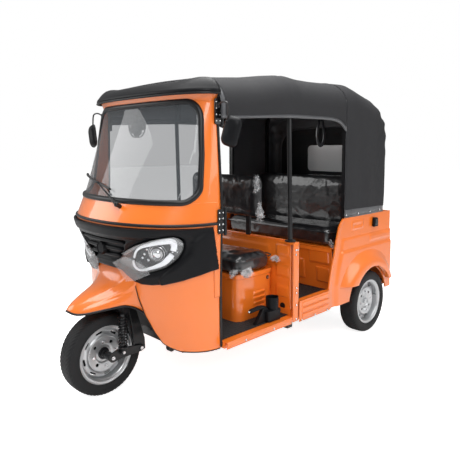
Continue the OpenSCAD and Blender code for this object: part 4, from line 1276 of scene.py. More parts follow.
pad("driver_seat_pad", "driver_seat", film_vinyl, seed=2)
back_low, back_high = [np.array(v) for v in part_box("driver_backrest")]
back_high = np.array((0.370, Y0 + 1.078, 1.300))
back_low = np.array((-0.370, Y0 + 1.012, 0.970))
pad("driver_back_pad", "driver_backrest", film_vinyl, shrink=0.006, seed=5, low_high=(back_low, back_high))
pad("bench_pad", "bench_cushion", film_vinyl, voxel=0.0165, seed=7)
pad("bench_back_pad", "bench_backrest", film_vinyl, voxel=0.0165, seed=11)
arms = both(box((0.180, Y0 + 1.074, 0.852), (0.220, Y0 + 1.090, 1.200)))
piece("backrest_brackets", arms, black_steel, bevel=0.002)


# %% Piping and loose film
def seam_round(node, axis, level, inset, r=0.055, radius=0.0045):
    """Piping round a pad at one level of its thin direction."""
    low, high = [np.array(v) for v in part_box(node)]
    i, j, k = AXES[axis]
    size, middle = high - low, (high + low) / 2
    outline = round_rect(size[i] - 2 * inset, size[j] - 2 * inset, r, (middle[i], middle[j]), 8)
    ring = np.zeros((len(outline), 3))
    ring[:, i], ring[:, j] = outline[:, 0], outline[:, 1]
    ring[:, k] = low[k] + (high[k] - low[k]) * level
    return tube(even(np.vstack([ring, ring[:2]]), 160), radius, 8)


piece("seat_piping", [seam_round("driver_seat", "z", 0.80, 0.005), seam_round("bench_cushion", "z", 0.78,
                                                                              0.005)],
      film_vinyl)


def film_tail(corner, across, down, seed, size=0.12, n=18):
    """A crumpled corner of loose film that hangs from a cushion's corner."""
    u, v = np.meshgrid(np.linspace(0, 1, n), np.linspace(0, 1, n))
    base = (np.asarray(corner) + u[..., None] * np.asarray(across) * size
            + v[..., None] * np.asarray(down) * size * (0.6 + 0.4 * np.sin(3 * u))[..., None])
    random = np.random.default_rng(seed)
    rough = np.zeros((n, n, 3))
    for _ in range(8):
        k = random.uniform(3, 11, 2)
        amount = random.normal(size=3) * 0.011
        rough += np.abs(np.sin(k[0] * u * 2 + k[1] * v * 2 + random.uniform(0, 6)))[..., None] * amount
    return grid(base + rough * (0.3 + v)[..., None])


tails = [film_tail((0.478, Y0 + 0.700, 0.690), (-0.4, 0.1, 0), (0.05, -0.18, -0.75), 1, 0.10),
         film_tail((0.485, Y0 + 0.72, 0.70), (0, 0.9, 0.1), (0.12, 0, -0.7), 2, 0.085),
         film_tail((0.470, Y0 + 1.00, 0.74), (0.05, 0.5, 0.1), (0.25, 0.1, -0.3), 3, 0.08),
         film_tail((0.560, Y0 + 1.62, 0.775), (0.05, -0.25, 0.2), (0.35, -0.1, -0.35), 4, 0.12),
         film_tail((0.560, Y0 + 1.66, 0.750), (0.1, 0.8, 0.1), (0.3, 0, -0.5), 6, 0.10),
         film_tail((0.372, Y0 + 1.005, 1.300), (0.06, 0, -0.9), (0.25, -0.1, 0.12), 7, 0.10),
         film_tail((0.372, Y0 + 1.005, 1.110), (0.06, 0, -0.9), (0.22, -0.1, -0.12), 8, 0.10)]
piece("seat_film", tails, film)

# %% [markdown]
# ## Wheels
# A tyre is its profile turned round the axle. The tread is cut into the same grid: grooves are places where
# the profile dips, and the sipes on the shoulders are a square wave round the tyre. A rim is a barrel with a
# dished disc, and holes are taken out of the disc with closed shapes.

# %% Tyre and rim shapes, made once round the X axis
TYRE = np.array([(0.1665, 0.048), (0.172, 0.056), (0.180, 0.0625), (0.192, 0.0665), (0.207, 0.0675),
                 (0.220, 0.0660),
                 (0.230, 0.0625), (0.2365, 0.0575), (0.2405, 0.0515), (0.2425, 0.0445), (0.2440, 0.0340),
                 (0.2448, 0.0200), (0.2450, 0.0)])
half_tyre = through(TYRE, 33)
full_tyre = np.vstack([half_tyre, (half_tyre * (1, -1))[::-1][1:]])
tyre_turn = np.linspace(0, 2 * np.pi, 300, endpoint=False)
across_tread = full_tyre[:, 1:2]
tyre_r = full_tyre[:, 0:1] + 0 * tyre_turn
for groove in (-0.030, -0.010, 0.010, 0.030):
    tyre_r = tyre_r - 0.0045 * np.exp(-((across_tread - groove) / 0.0022) ** 4) * (full_tyre[:, 0:1] > 0.23)
square = (np.sin(tyre_turn * 60 + across_tread * 260) > 0.35).astype(float)
shoulder = step(np.abs(across_tread), 0.034, 0.037) * (full_tyre[:, 0:1] > 0.2335)
middle_bar = (np.abs(across_tread) < 0.026) * (np.abs(np.abs(across_tread) - 0.010) > 0.004)
tyre_r = tyre_r - 0.0030 * square * shoulder - 0.0018 * square * middle_bar * (full_tyre[:, 0:1] > 0.24)
tyre_r = tyre_r + 0.0012 * np.exp(-((full_tyre[:, 0:1] - 0.214) / 0.0016) ** 2)
tyre_r = tyre_r + 0.0010 * np.exp(-((full_tyre[:, 0:1] - 0.186) / 0.0014) ** 2)
ty = tyre_r * np.cos(tyre_turn)
tz = tyre_r * np.sin(tyre_turn)
tyre_shape = grid(np.stack([np.broadcast_to(across_tread, ty.shape), ty, tz], axis=-1), wrap_u=True,
                  wrap_v=True)

barrel_profile = [(0.150, 0.046), (0.156, 0.050), (0.158, 0.054), (0.166, 0.0545), (0.171, 0.056),
                  (0.1735, 0.059),
                  (0.1755, 0.0585), (0.1755, 0.054), (0.168, 0.0495), (0.164, 0.045), (0.164, -0.045),
                  (0.168, -0.0495), (0.1755, -0.054), (0.1755, -0.0585), (0.1735, -0.059), (0.171, -0.056),
                  (0.166, -0.0545), (0.158, -0.054), (0.156, -0.050), (0.150, -0.046), (0.150, -0.012),
                  (0.147, 0.0)]
barrel_shape = revolve(barrel_profile, (0, 0, 0), "x", 128)
disc_face = [(0.034, 0.021), (0.050, 0.021), (0.056, 0.026), (0.064, 0.028), (0.090, 0.028), (0.098, 0.032),
             (0.106, 0.031), (0.112, 0.022), (0.120, 0.017), (0.138, 0.017), (0.145, 0.012), (0.1515, 0.004)]
disc_back = [(r, x - 0.0045) for r, x in disc_face[::-1]]
drum_shape = revolve([(0.040, 0.008), (0.126, 0.007), (0.134, 0.0), (0.136, -0.040), (0.040, -0.040)],
                     (0, 0, 0),
                     "x", 96)
disc_shape = revolve(disc_face + disc_back, (0, 0, 0), "x", 144)


def capsule(radius, angle, half_length, half_width, n=7):
    """A slot's outline on the disc, as (y, z) points: long round the wheel, with round ends."""
    end = np.linspace(-np.pi / 2, np.pi / 2, n)
    along = np.concatenate([half_length + half_width * np.cos(end), -half_length - half_width * np.cos(end)])
    out = np.concatenate([half_width * np.sin(end), -half_width * np.sin(end)]) + radius
    turned = angle + along / radius
    return np.stack([out * np.cos(turned), out * np.sin(turned)], axis=1)[::-1]


slots = [prism(capsule(0.129, k * np.pi / 4 + 0.2, 0.015, 0.0072), "x", -0.03, 0.06) for k in range(8)]
slots += [prism(capsule(0.076, k * np.pi / 2 + 0.9, 0.0001, 0.0105), "x", -0.03, 0.06) for k in range(4)]


def wheel(prefix, body, centre, side, tyre_node, rim_node):
    """One wheel: tyre, rim with its holes, hub cap, nuts and valve, turned so that the dish faces out."""
    turn = np.array([side, side, 1.0])
    centre = np.asarray(centre)

    def placed(shape):
        """A shape moved to this wheel and faced outwards."""
        return shape[0] * turn + centre, shape[1]

    piece(prefix + "_tyre", [placed(tyre_shape)], tyre_rubber, body, [tyre_node], outward=True, smooth=30)
    rim = piece(prefix + "_rim_disc", [disc_shape], silver, body, [rim_node], outward=True)
    cut(rim, slots)
    spots = np.empty(len(rim.data.vertices) * 3)
    rim.data.vertices.foreach_get("co", spots)
    rim.data.vertices.foreach_set("co", (spots.reshape(-1, 3) * turn + centre).ravel())
    rim.data.update()
    piece(prefix + "_rim_barrel", [placed(barrel_shape)], silver, body, outward=True)
    hub = [(0.0004, 0.040), (0.018, 0.040), (0.021, 0.038), (0.022, 0.030), (0.034, 0.029), (0.036, 0.026),
           (0.036, -0.030), (0.0004, -0.030)]
    if prefix != "front_wheel":
        hub = [(r * 1.1, x - 0.004) for r, x in hub]
    piece(prefix + "_hub", [placed(revolve(hub, (0, 0, 0), "x", 40, closed=False))],
          black_steel if prefix == "front_wheel" else silver, body, outward=True)
    piece(prefix + "_brake_drum", [placed(drum_shape)], black_steel, body, outward=True)
    nuts = []
    for k in range(4):
        a = k * np.pi / 2 + 0.12
        y, z = 0.076 * np.cos(a), 0.076 * np.sin(a)
        hexagon = [(y + 0.0095 * np.cos(b), z + 0.0095 * np.sin(b)) for b in np.arange(6) * np.pi / 3]
        nuts.append(placed(prism(hexagon, "x", 0.026, 0.037)))
        nuts.append(placed(bar((0.03, y, z), (0.042, y, z), 0.005, 10)))
    nuts.append(placed(bar((0.010, 0.140, 0.02), (0.044, 0.146, 0.021), 0.0035, 10)))
    piece(prefix + "_wheel_nuts", nuts, bright, body, outward=True)


wheel("front_wheel", "front_wheel", (0, Y0, 0.245), 1, "front_tyre", "front_rim")
wheel("rear_left", "rear_wheel_left", (0.5755, Y0 + 2.034, 0.245), 1, "rear_tyre_left", "rear_rim_left")
wheel("rear_right", "rear_wheel_right", (-0.5755, Y0 + 2.034, 0.245), -1, "rear_tyre_right", "rear_rim_right")

# %% [markdown]
# ## Front suspension
# Leading links carry the axle. Beside each fork leg a shock absorber stands on the link, its spring wound
# round it: the spring is a helix, with its turns closer together at the ends.

# %% Links, shock absorbers and springs
link = [(-0.022, 0.232), (-0.012, 0.221), (0.0, 0.218), (0.060, 0.226), (0.200, 0.230), (0.214, 0.234),
        (0.222, 0.250), (0.214, 0.266), (0.200, 0.270), (0.060, 0.288), (0.040, 0.286), (0.0, 0.274),
        (-0.016, 0.270), (-0.022, 0.256)]
arm = prism([(y + Y0, z) for y, z in link], "x", 0.113, 0.127)
shock_low, shock_high = np.array((0.140, Y0 + 0.060, 0.272)), np.array((0.134, Y0 + 0.066, 0.497))


def on_shock(t):
    """A point on the shock absorber, by its share of the length."""
    return shock_low + (shock_high - shock_low) * np.asarray(t, float)[..., None]


turns = 9.5
s = np.linspace(0, 1, 420)
s_even = 0.14 + 0.74 * (s + 0.018 * np.sin(2 * np.pi * s))
coil = on_shock(s_even) + 0.0245 * np.stack([np.cos(2 * np.pi * turns * s), np.sin(2 * np.pi * turns * s),
                                             0 * s], 1)
seat_low = tube(on_shock(np.array([0.10, 0.12, 0.135])), [0.028, 0.030, 0.026], 24)
seat_high = tube(on_shock(np.array([0.885, 0.90, 0.93])), [0.027, 0.031, 0.024], 24)
damper = tube(on_shock(np.array([0.0, 0.52, 0.53, 1.0])), [0.0105, 0.0105, 0.017, 0.017], 24)
eye_low = bar((0.118, Y0 + 0.058, 0.270), (0.152, Y0 + 0.058, 0.270), 0.016)
pivot = bar((0.0984, Y0 + 0.200, 0.250), (0.130, Y0 + 0.200, 0.250), 0.017)
axle_cap = bar((0.066, Y0, 0.245), (0.116, Y0, 0.245), 0.024, 28)
axle = bar((-0.122, Y0, 0.245), (0.122, Y0, 0.245), 0.010)
piece("front_link_arms", both(arm, damper, seat_low, seat_high, eye_low, pivot, axle_cap) + [axle],
      black_steel,
      "steering", ["front_links"], bevel=0.0012)
piece("front_springs", both(tube(coil, 0.0040, 8)), black_steel, "steering")
bolts = [bar((0.126, Y0 + 0.200, 0.250), (0.134, Y0 + 0.200, 0.250), 0.011, 24),
         bar((0.120, Y0, 0.245), (0.133, Y0, 0.245), 0.0125, 6), bar((0.128, Y0, 0.245), (0.141, Y0, 0.245),
                                                                     0.007, 16),
         bar((0.150, Y0 + 0.058, 0.270), (0.158, Y0 + 0.058, 0.270), 0.0095, 6)]
piece("front_link_bolts", both(*bolts), bright, "steering", bevel=0.0008)
rod_path = through([(0.118, Y0 + 0.150, 0.30), (0.122, Y0 + 0.140, 0.40), (0.118, Y0 + 0.120, 0.50)], 30)
brake_hose = piece("brake_hose", [tube(rod_path, 0.0045, 10)], rubber, "steering")

# %% [markdown]
# ## Pressed panels
# The orange sheet metal gets its stiffness from pressed shapes: steps, rectangles and louvres. Each panel is
# a fine grid whose points stand out by a height field, so a pressing is a place where the height is larger,
# with sloping edges. One function bends such a grid into any of the flat panels.

# %% A pressed panel
def pressed(axis, base, u_range, v_range, height, n, facing=1):
    """A panel across an axis: points (u, v) on a grid, `base` plus `height(u, v)` along the axis."""
    i, j, k = AXES[axis]
    u, v = np.meshgrid(np.linspace(*u_range, n[0]), np.linspace(*v_range, n[1]))
    points = np.zeros(u.shape + (3,))
    points[..., i], points[..., j] = u, v
    points[..., k] = base + facing * height(u, v)
    if facing < 0:
        points = points[:, ::-1]
    return grid(points)


# %% Rear sides
FRONT_EDGE = np.array([(0.316, 1.484), (0.457, 1.481), (0.600, 1.515), (0.680, 1.545), (0.800, 1.575),
                       (0.880, 1.602),
                       (0.920, 1.626), (0.946, 1.660)])


def side_relief(y, z):
    """Two steps along the side, a pressed rectangle above them and a raised front flange."""
    front = np.interp(z, FRONT_EDGE[:, 0], FRONT_EDGE[:, 1])
    begins = step(y, front + 0.075, front + 0.12)
    lower = 0.007 * (1 - step(z, 0.786, 0.796)) + 0.008 * (1 - step(z, 0.690, 0.702))
    plate = 0.005 * raised(y, z, (1.795, 1.955, 0.853, 0.905), 0.006)
    inner = 0.004 * raised(y, z, (1.815, 1.935, 0.866, 0.892), 0.005)
    flange = 0.008 * (1 - step(y, front + 0.030, front + 0.044))
    rib = 0.005 * raised(y, z, (2.06, 2.37, 0.735, 0.770), 0.007)
    return begins * lower + plate - inner + flange + rib


def rear_side():
    """One rear side: its relief laid on a grid that follows the sloping front edge."""
    s, t = np.meshgrid(np.linspace(0, 1, 104), np.linspace(0, 1, 78))
    z = 0.304 + (0.946 - 0.304) * t
    front = np.interp(z, FRONT_EDGE[:, 0], FRONT_EDGE[:, 1])
    y = front + (2.395 - front) * s
    x = 0.612 + side_relief(y, z)
    return grid(np.stack([x, y + Y0, z], axis=-1))


wheel_room = bar((0.5, Y0 + 2.034, 0.245), (0.75, Y0 + 2.034, 0.245), 0.288, 96)
side_panels = piece("rear_side_panels", both(rear_side()), orange, replaces=["rear_sides"], wall=0.010)
settle(side_panels)
cut(side_panels, both(wheel_room))


# %% Wheel flares
def flare():
    """One wheel flare, swept round the wheel."""
    profile = np.array([(0.432, 0.6215), (0.424, 0.624), (0.405, 0.634), (0.384, 0.648), (0.366, 0.662),
                        (0.350, 0.671),
                        (0.330, 0.6765), (0.308, 0.6785), (0.297, 0.6775), (0.2925, 0.673), (0.2925, 0.640)])
    profile = through(profile, 44)
    share = np.clip((profile[:, 0] - 0.2925) / 0.14, 0, 1)[:, None]
    mid_y, mid_z = 2.034 - 0.034 * share, 0.245 + 0.005 * share
    r = profile[:, :1]
    start = np.pi - np.arcsin(np.clip((0.428 - mid_z) / r, -1, 1))
    end = np.arcsin(np.clip((0.396 - mid_z) / r, -1, 1))
    a = start + (end - start) * np.linspace(0, 1, 84)[None, :]
    boxy = 1 + 0.035 * share * np.sin(2 * a) ** 2
    y = mid_y + r * boxy * np.cos(a)
    z = mid_z + r * boxy * np.sin(a)
    y = np.minimum(y, 2.395 + 0.02 * (1 - share))
    x = profile[:, 1:] + 0 * a
    points = np.stack([x, y + Y0, z], axis=-1)
    return grid(points[:, ::-1])


piece("flare_panels", both(flare()), orange, replaces=["wheel_flares"], wall=0.0035)


# %% Rockers, door pillar plates and the sill
def rocker_relief(y, z):
    """The pressed lines of the rocker panel."""
    ribs = sum(0.006 * raised(y, z, (1.150, 1.455, low, low + 0.026), 0.005) for low in (0.324, 0.366, 0.406))
    return ribs


rocker = pressed("x", 0.634, (1.118 + Y0, 1.479 + Y0), (0.306, 0.448), lambda y,
                 z: rocker_relief(y - Y0, z), (70, 36))
rocker_top = box((0.598, Y0 + 1.118, 0.440), (0.6335, Y0 + 1.479, 0.448))
sill_strip = pressed("x", 0.622, (0.447 + Y0, 1.052 + Y0), (0.308, 0.345),
                     lambda y, z: 0.005 * step(z, 0.318, 0.324), (30, 12))
sill_top = box((0.575, Y0 + 0.447, 0.3455), (0.626, Y0 + 1.052, 0.3515))
pillar_plate = pressed("x", 0.626, (1.056 + Y0, 1.116 + Y0), (0.316, 0.846),
                       lambda y, z: 0.004 * raised(y - Y0, z, (1.066, 1.106, 0.33, 0.83), 0.004), (14, 60))
pillar_top = box((0.560, Y0 + 1.056, 0.836), (0.6255, Y0 + 1.116, 0.848))
piece("rocker_pressings", both(rocker, rocker_top, sill_strip, sill_top), orange,
      replaces=["rocker_panels"], wall=0.004)
bolts = [(1.075, 0.800), (1.092, 0.800), (1.075, 0.770), (1.084, 0.545), (1.084, 0.512), (1.084, 0.430),
         (1.084, 0.335),
         (1.140, 0.316), (1.290, 0.316), (1.440, 0.316), (0.60, 0.327), (0.86, 0.327)]
heads = [ball((0.634 + 0.006 * (y > 1.12) - 0.004 * (y < 1.0), Y0 + y, z), 0.0070, (0.6, 1, 1), 8) for y,
         z in bolts]
piece("body_bolts", both(*heads), bright)


# %% [markdown]
# The wall behind the driver is pressed sheet, stiffened by raised plates.

# %% Partition
def partition_relief(x, z):
    """The raised plates of the partition."""
    ax = np.abs(x)
    plates = sum(0.007 * raised(ax, z, (0.470, 0.572, low, high), 0.006)
                 for low, high in ((0.470, 0.535), (0.612, 0.672), (0.758, 0.818)))
    middle = 0.006 * raised(x, z, (-0.40, 0.40, 0.72, 0.80), 0.008)
    return plates + middle


u, v = np.meshgrid(np.linspace(-0.592, 0.592, 132), np.linspace(0.346, 0.846, 56))
front_wall = grid(np.stack([u, 1.074 + Y0 - partition_relief(u, v), v], axis=-1))
rear_wall = grid(np.stack([u[:, ::-1], 1.096 + Y0 + 0.6 * partition_relief(u[:, ::-1], v), v], axis=-1))
partition_top = box((-0.592, Y0 + 1.071, 0.838), (0.592, Y0 + 1.099, 0.850))
piece("partition_walls", [front_wall, rear_wall, partition_top, *both(pillar_plate, pillar_top)], orange,
      replaces=["partition"], wall=0.002)
# Painted shade: two flat black discs on the partition's face stand in for the dark seen through its two
# holes.
holes = [bar((x, Y0 + 1.0725, 0.405), (x, Y0 + 1.0735, 0.405), 0.021, 32) for x in (0.525, -0.525)]
piece("partition_hole_shade", [moved(h, (0, -0.0008, 0)) for h in holes], rubber)
cap_rail = tube(even([(-0.585, Y0 + 1.085, 0.853), (0.585, Y0 + 1.085, 0.853)], 20), 0.006, 8)
piece("partition_rail", [cap_rail], orange)


# %% [markdown]
# The louvres are pushed out of the same grid that makes the box, each one slanting like a slat.

# %% Driver's box with louvres and lock
def box_sides():
    """A box with round corners whose left and right faces carry louvres."""
    outline = round_rect(0.900, 0.358, 0.060, (0, 0), 10)
    outline = even(outline, 260, closed=True)
    levels = np.linspace(0.346, 0.660, 72)
    x = np.broadcast_to(outline[:, 0], (72, 260)).copy()
    y = np.broadcast_to(outline[:, 1] + 0.8895 + Y0, (72, 260)).copy()
    z = np.broadcast_to(levels[:, None], (72, 260)).copy()
    side = np.abs(x) > 0.449
    out = np.zeros_like(x)
    for low in (0.405, 0.438, 0.471, 0.504):
        within = raised(y - Y0, z, (0.865, 0.965, low, low + 0.017), 0.005)
        out += 0.009 * within * (0.35 + 0.65 * np.clip((z - low + 0.005) / 0.022, 0, 1))
    out = out * side + 0.006 * step(z, 0.628, 0.634)
    x += np.sign(x) * out * (np.abs(outline[:, 0]) > 0.39)
    y += np.sign(y - 0.8895 - Y0) * 0.006 * step(z, 0.628, 0.634) * (np.abs(outline[:, 1]) > 0.118)
    return grid(np.stack([x, y, z], axis=-1), wrap_u=True)


lid = prism(round_rect(0.906, 0.364, 0.062, (0, 0.8895 + Y0), 10), "z", 0.654, 0.660)
piece("driver_box_shell", [box_sides(), lid], orange, replaces=["driver_box"], smooth=40)
lock = [bar((0.450, Y0 + 1.000, 0.602), (0.4555, Y0 + 1.000, 0.602), 0.0125, 28)]
piece("box_locks", both(*lock), rubber, bevel=0.001)
piece("box_keyways", both(bar((0.4555, Y0 + 1.000, 0.602), (0.4575, Y0 + 1.000, 0.602), 0.006, 20)), bright)


# %% [markdown]
# The ribs of the mats are a square wave, so the rows of the grid fall across them.

# %% Bench riser and deck
def riser_relief(x, z):
    """The four raised plates of each half of the riser."""
    ax = np.abs(x)
    out = 0.008 * raised(ax, z, (0.050, 0.225, 0.560, 0.690), 0.007)
    out = np.maximum(out, 0.008 * raised(ax, z, (0.120, 0.300, 0.455, 0.600), 0.007))
    out = np.maximum(out, 0.008 * raised(ax, z, (0.360, 0.530, 0.600, 0.690), 0.007))
    return np.maximum(out, 0.008 * raised(ax, z, (0.420, 0.530, 0.455, 0.560), 0.007))


u, v = np.meshgrid(np.linspace(-0.563, 0.563, 124), np.linspace(0.393, 0.722, 48))
lean = np.interp(v, [0.393, 0.722], [1.640, 1.600])
riser = grid(np.stack([u, lean + Y0 - riser_relief(u, v), v], axis=-1))
shelf = box((-0.566, Y0 + 1.590, 0.719), (0.566, Y0 + 2.128, 0.729))
riser_lip = box((-0.566, Y0 + 1.590, 0.692), (0.566, Y0 + 1.596, 0.722))
piece("bench_riser", [riser, shelf, riser_lip], orange, replaces=["bench_base"], wall=0.004)


def ribbed_floor(x_range, y_range, z, n, pitch=0.026):
    """A rubber mat with ribs along X."""
    x, y = np.meshgrid(np.linspace(*x_range, n[0]), np.linspace(*y_range, n[1]))
    wave = 0.0016 * (np.sin(2 * np.pi * y / pitch) > 0)
    return grid(np.stack([x, y + Y0, z + wave], axis=-1))


mats = [ribbed_floor((-0.572, 0.572), (0.452, 1.068), 0.3530, (3, 240)),
        ribbed_floor((-0.590, 0.590), (1.105, 1.636), 0.3945, (3, 210))]
piece("ribbed_mats", mats, ribbed_mat, replaces=["floor_mat"], wall=0.002)
edge_strip = box((0.572, Y0 + 1.118, 0.392), (0.599, Y0 + 1.479, 0.4395))
piece("deck_edges", both(edge_strip), orange, bevel=0.002)


# %% [markdown]
# The hatch skin rides on its own body, so it has its own grid, and the lamps stand in dark cases.

# %% Tail, hatch and lamps
def tail_relief(x, z):
    """The raised and sunk fields of the tail."""
    ax = np.abs(x)
    hatch_gap = -0.004 * raised(x, z, (-0.434, 0.434, 0.436, 0.828), 0.002)
    low_plate = 0.006 * raised(x, z, (-0.30, 0.30, 0.330, 0.410), 0.007)
    corner = 0.006 * raised(ax, z, (0.470, 0.585, 0.560, 0.840), 0.006)
    return hatch_gap + low_plate + corner


u, v = np.meshgrid(np.linspace(-0.599, 0.599, 112), np.linspace(0.312, 0.946, 66))
back_panel = grid(np.stack([u[:, ::-1], 2.388 + Y0 + tail_relief(u[:, ::-1], v), v], axis=-1))
bumper = prism(round_rect(0.052, 0.052, 0.012, (Y0 + 2.394, 0.326)), "x", -0.560, 0.560)
hatch_lugs = [box((x - 0.014, Y0 + 2.392, 0.830), (x - 0.0005, Y0 + 2.412, 0.845))
              for x in (-0.300, -0.2365, 0.250, 0.3135)]
piece("tail_pressing", [back_panel, *hatch_lugs], orange, replaces=["tail_panel"], wall=0.004)
piece("rear_bumper", [bumper], black_steel, bevel=0.002)
u, v = np.meshgrid(np.linspace(-0.429, 0.429, 110), np.linspace(0.441, 0.820, 56))
hatch_height = (0.006 * raised(u, v, (-0.37, 0.37, 0.50, 0.77), 0.010)
                - 0.004 * raised(u, v, (-0.33, 0.33, 0.535, 0.735), 0.008))
hatch_skin = grid(np.stack([u[:, ::-1], (2.391 + Y0 + hatch_height)[:, ::-1], v], axis=-1))
knuckles = [bar((x, Y0 + 2.404, 0.836), (x + 0.05, Y0 + 2.404, 0.836), 0.009) for x in (-0.300, 0.250)]
leaves = [box((x, Y0 + 2.392, 0.790), (x + 0.05, Y0 + 2.399, 0.832)) for x in (-0.300, 0.250)]
piece("hatch_skin", [hatch_skin, *knuckles, *leaves], orange, "hatch", ["rear_hatch"], wall=0.003)
handle = through([(-0.06, Y0 + 2.396, 0.475), (-0.055, Y0 + 2.410, 0.475), (0, Y0 + 2.413, 0.475),
                  (0.055, Y0 + 2.410, 0.475), (0.06, Y0 + 2.396, 0.475)], 30)
piece("hatch_handle", [tube(handle, 0.007, 12)], black_steel, "hatch")
lamp_parts = {"red": (red_lens, 0.735, 0.080), "amber": (amber_lens, 0.648, 0.070),
              "white": (glow_white, 0.792, 0.026)}
for label, (material, z, tall) in lamp_parts.items():
    block = prism(round_rect(0.100, tall, 0.014, (0.520, z))[:, ::-1], "y", Y0 + 2.398, Y0 + 2.411)
    piece("tail_lamp_" + label, both(block), material, replaces=["tail_lamps"], bevel=0.002, outward=True)
lamp_case = prism(round_rect(0.112, 0.232, 0.02, (0.520, 0.700))[:, ::-1], "y", Y0 + 2.3925, Y0 + 2.402)
piece("tail_lamp_cases", both(lamp_case), gloss_black, bevel=0.002, outward=True)
plate_back = prism(round_rect(0.28, 0.09, 0.008, (0, 0.330))[:, ::-1], "y", Y0 + 2.4205, Y0 + 2.4225)
piece("blank_plate", [plate_back], gloss_black, bevel=0.0008, outward=True)

# %% [markdown]
# ## Mirrors, fan, brake and small fittings
# These small parts finish the silhouette. A mirror is a rounded housing that bulges at the back, hung from a
# bent rod; the fan is a ring with a cage of wires; the parking brake is a lever beside a tray with a cup
# holder.

# %% Mirrors
def soft_block(w, h, depth, r, n=40):
    """A housing: a round-cornered outline that shrinks towards the back in a quarter circle; faces -Y."""
    t = np.linspace(0, np.pi / 2, 12)
    rings = [(w, h, 0.0)]
    rings += [(w - 2 * 0.030 * (1 - np.cos(a)), h - 2 * 0.030 * (1 - np.cos(a)), -depth * np.sin(a))
              for a in t]
    rings += [((w - 0.06) * k, (h - 0.06) * k, -depth - 0.003 * (1 - k)) for k in (0.75, 0.5, 0.25, 0.02)]
    loops = []
    for a, b, y in rings:
        outline = even(round_rect(a, b, min(r, a / 2.05, b / 2.05), (0, 0), 8), n, closed=True)
        loops.append(np.stack([outline[:, 0], np.full(n, y), outline[:, 1]], axis=1))
    return grid(np.stack(loops), wrap_u=True)


def turned(shape, tilt, yaw, centre):
    """Tilts a shape in its own plane (about Y), then turns it about Z and moves it."""
    verts = shape[0]
    c, s = np.cos(tilt), np.sin(tilt)
    verts = verts @ np.array([[c, 0, s], [0, 1, 0], [-s, 0, c]]).T
    c, s = np.cos(yaw), np.sin(yaw)
    verts = verts @ np.array([[c, -s, 0], [s, c, 0], [0, 0, 1]]).T
    return verts + np.asarray(centre), shape[1]


mirror_at = np.array((0.712, Y0 + 0.392, 1.556))
housing = turned(soft_block(0.106, 0.165, 0.030, 0.036, 64), math.radians(17), math.radians(10), mirror_at)
glass_face = prism(round_rect(0.096, 0.154, 0.032)[:, ::-1], "y", -0.0005, 0.002)
glass_face = turned(glass_face, math.radians(17), math.radians(10), mirror_at)
stalk = through([(0.602, Y0 + 0.398, 1.700), (0.640, Y0 + 0.388, 1.716), (0.680, Y0 + 0.382, 1.714),
                 (0.697, Y0 + 0.380, 1.695), (0.700, Y0 + 0.378, 1.640), (0.700, Y0 + 0.378, 1.612)], 60)
knob = ball((0.700, Y0 + 0.372, 1.606), 0.014, (1, 1, 0.9), 12)
clamp = bar((0.600, Y0 + 0.398, 1.690), (0.600, Y0 + 0.398, 1.712), 0.010)
piece("mirror_housings", both(housing, knob), matt_black, replaces=["mirrors"], outward=True, smooth=50)
piece("mirror_stalks", both(tube(stalk, 0.0052, 12), clamp), black_steel)
piece("mirror_glasses", both(glass_face), chrome, outward=True)

# %% Wiper
wiper_base = on_nose(0.170, 1.136, 0.0)
wiper_top = on_nose(0.170, 1.136, 0.034)
arm_from, arm_to = on_nose(0.170, 1.136, 0.030), on_nose(-0.110, 1.250, 0.026)
second_from = arm_from + np.array([-0.03, 0.0, 0.006])
blade_x = np.linspace(0.034, -0.430, 40)
blade_z = np.interp(blade_x, [-0.430, -0.270, -0.110, 0.034], [1.292, 1.273, 1.250, 1.222])
blade = ribbon(on_nose(blade_x, blade_z, 0.014), across_nose(blade_x, blade_z),
               [(-0.003, -0.010), (0.003, -0.010), (0.0065, 0.002), (0.004, 0.008), (-0.004, 0.008),
                (-0.0065, 0.002)])
arms = [tube(np.linspace(arm_from, arm_to, 8), np.linspace(0.0075, 0.0045, 8), 10, 0.7),
        tube(np.linspace(second_from, arm_to + np.array([0.03, 0, -0.012]), 8), 0.003, 8),
        bar(wiper_base, wiper_top, 0.012), ball(wiper_top, 0.015, (1, 0.8, 1), 10),
        ball(arm_to, 0.009, (1.2, 1, 1), 10)]
piece("wiper_assembly", [blade, *arms], rubber, replaces=["wiper"], outward=True, smooth=45)

# %% [markdown]
# The guard is a fan of bent wires round a hub, and the blades turn on no joint.

# %% Cabin fan
fan_at = np.array((-0.300, Y0 + 0.470, 1.620))
torus_turn = np.linspace(0, 2 * np.pi, 65)
fan_parts = []
for radius, y in ((0.078, 0.002), (0.078, 0.030), (0.054, -0.008), (0.030, -0.013)):
    ring = np.stack([radius * np.cos(torus_turn), np.full(65, y), radius * np.sin(torus_turn)],
                    axis=1) + fan_at
    fan_parts.append(tube(ring, 0.0028 if radius < 0.07 else 0.004, 8))
for k in range(20):
    a = k * np.pi / 10
    spoke = np.array([(0.018, -0.014), (0.050, -0.009), (0.072, -0.002), (0.078, 0.004), (0.078, 0.030)])
    path = np.stack([spoke[:, 0] * np.cos(a), spoke[:, 1], spoke[:, 0] * np.sin(a)], axis=1) + fan_at
    fan_parts.append(tube(path, 0.0013, 6))
fan_parts.append(moved(revolve([(0.0004, -0.016), (0.018, -0.014), (0.021, -0.008), (0.030, 0.040),
                                (0.030, 0.066),
                                (0.0004, 0.070)], (0, 0, 0), "y", 32, closed=False), fan_at))
for k in range(5):
    a = k * 2 * np.pi / 5
    r, t = np.meshgrid(np.linspace(0.024, 0.070, 8), np.linspace(-0.42, 0.42, 8))
    blade_y = 0.010 + 0.014 * t / 0.42
    fan_parts.append(moved(grid(np.stack([r * np.cos(a + t), blade_y, r * np.sin(a + t)], axis=-1)), fan_at))
bracket = through([(-0.300, Y0 + 0.505, 1.650), (-0.300, Y0 + 0.505, 1.760), (-0.300, Y0 + 0.490, 1.838)], 20)
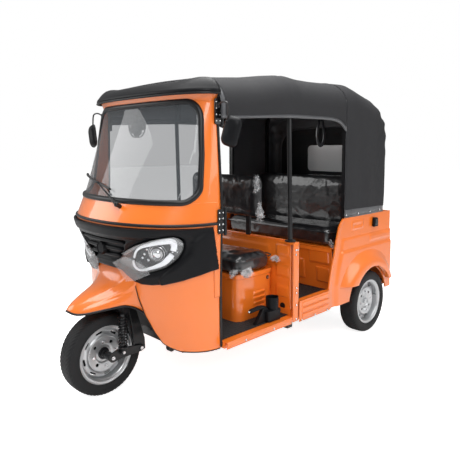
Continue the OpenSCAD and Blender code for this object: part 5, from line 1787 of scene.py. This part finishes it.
fan_parts.append(tube(bracket, 0.008, 12))
piece("fan_cage", fan_parts, gloss_black, replaces=["cabin_fan"], smooth=40)

# %% Parking brake and tray
tray_outline = round_rect(0.084, 0.128, 0.014, (0.5475, Y0 + 0.915))
tray = prism(tray_outline, "z", 0.3555, 0.425)
cup_wall = [(0.036, 0.415), (0.038, 0.500), (0.0415, 0.504), (0.0425, 0.500), (0.0415, 0.410), (0.036, 0.410)]
cup = revolve(cup_wall, (0.5475, Y0 + 0.935, 0), "z", 40)
lever = through([(0.5475, Y0 + 0.890, 0.405), (0.5475, Y0 + 0.850, 0.448), (0.5475, Y0 + 0.790, 0.456),
                 (0.5475, Y0 + 0.715, 0.450)], 40)
lever_width = np.interp(np.linspace(0, 1, 40), [0, 0.35, 0.5, 0.94, 1], [0.018, 0.012, 0.0145, 0.0140, 0.009])
foot = prism([(Y0 + 0.760, 0.3555), (Y0 + 0.860, 0.3555), (Y0 + 0.860, 0.440), (Y0 + 0.835, 0.450),
              (Y0 + 0.800, 0.400)],
             "x", 0.535, 0.562)
piece("parking_brake_parts", [tray, cup, tube(lever, lever_width, 16), foot], matt_black,
      replaces=["parking_brake"],
      bevel=0.002)
piece("brake_button", [ball((0.5475, Y0 + 0.712, 0.450), 0.0075, (1, 1, 1), 10)], bright)

# %% Side lamps, tow eyes and B-pillar feet
lamp_plan = [(0.030, -0.036), (0.030, 0.030), (0.012, 0.038), (-0.028, 0.038), (-0.030, -0.036)]
lamp_body = prism([(Y0 + 2.124 + y, 0.876 + z) for y, z in lamp_plan], "x", 0.616, 0.637)
lamp_window = prism([(Y0 + 2.124 + 0.7 * y, 0.876 + 0.7 * z) for y, z in lamp_plan], "x", 0.6365, 0.641)
tow = [revolve([(0.0145, -0.015), (0.026, -0.014), (0.026, 0.014), (0.0145, 0.015)],
               (0.300, Y0 + 0.290, 0.280), "x", 40),
       box((0.286, Y0 + 0.305, 0.262), (0.314, Y0 + 0.330, 0.300))]
piece("side_lamps", both(lamp_body), matt_black, replaces=["side_fittings"], bevel=0.004)
piece("side_lamp_windows", both(lamp_window), gloss_black, bevel=0.002)
piece("tow_eyes", both(*tow), black_steel, outward=True)
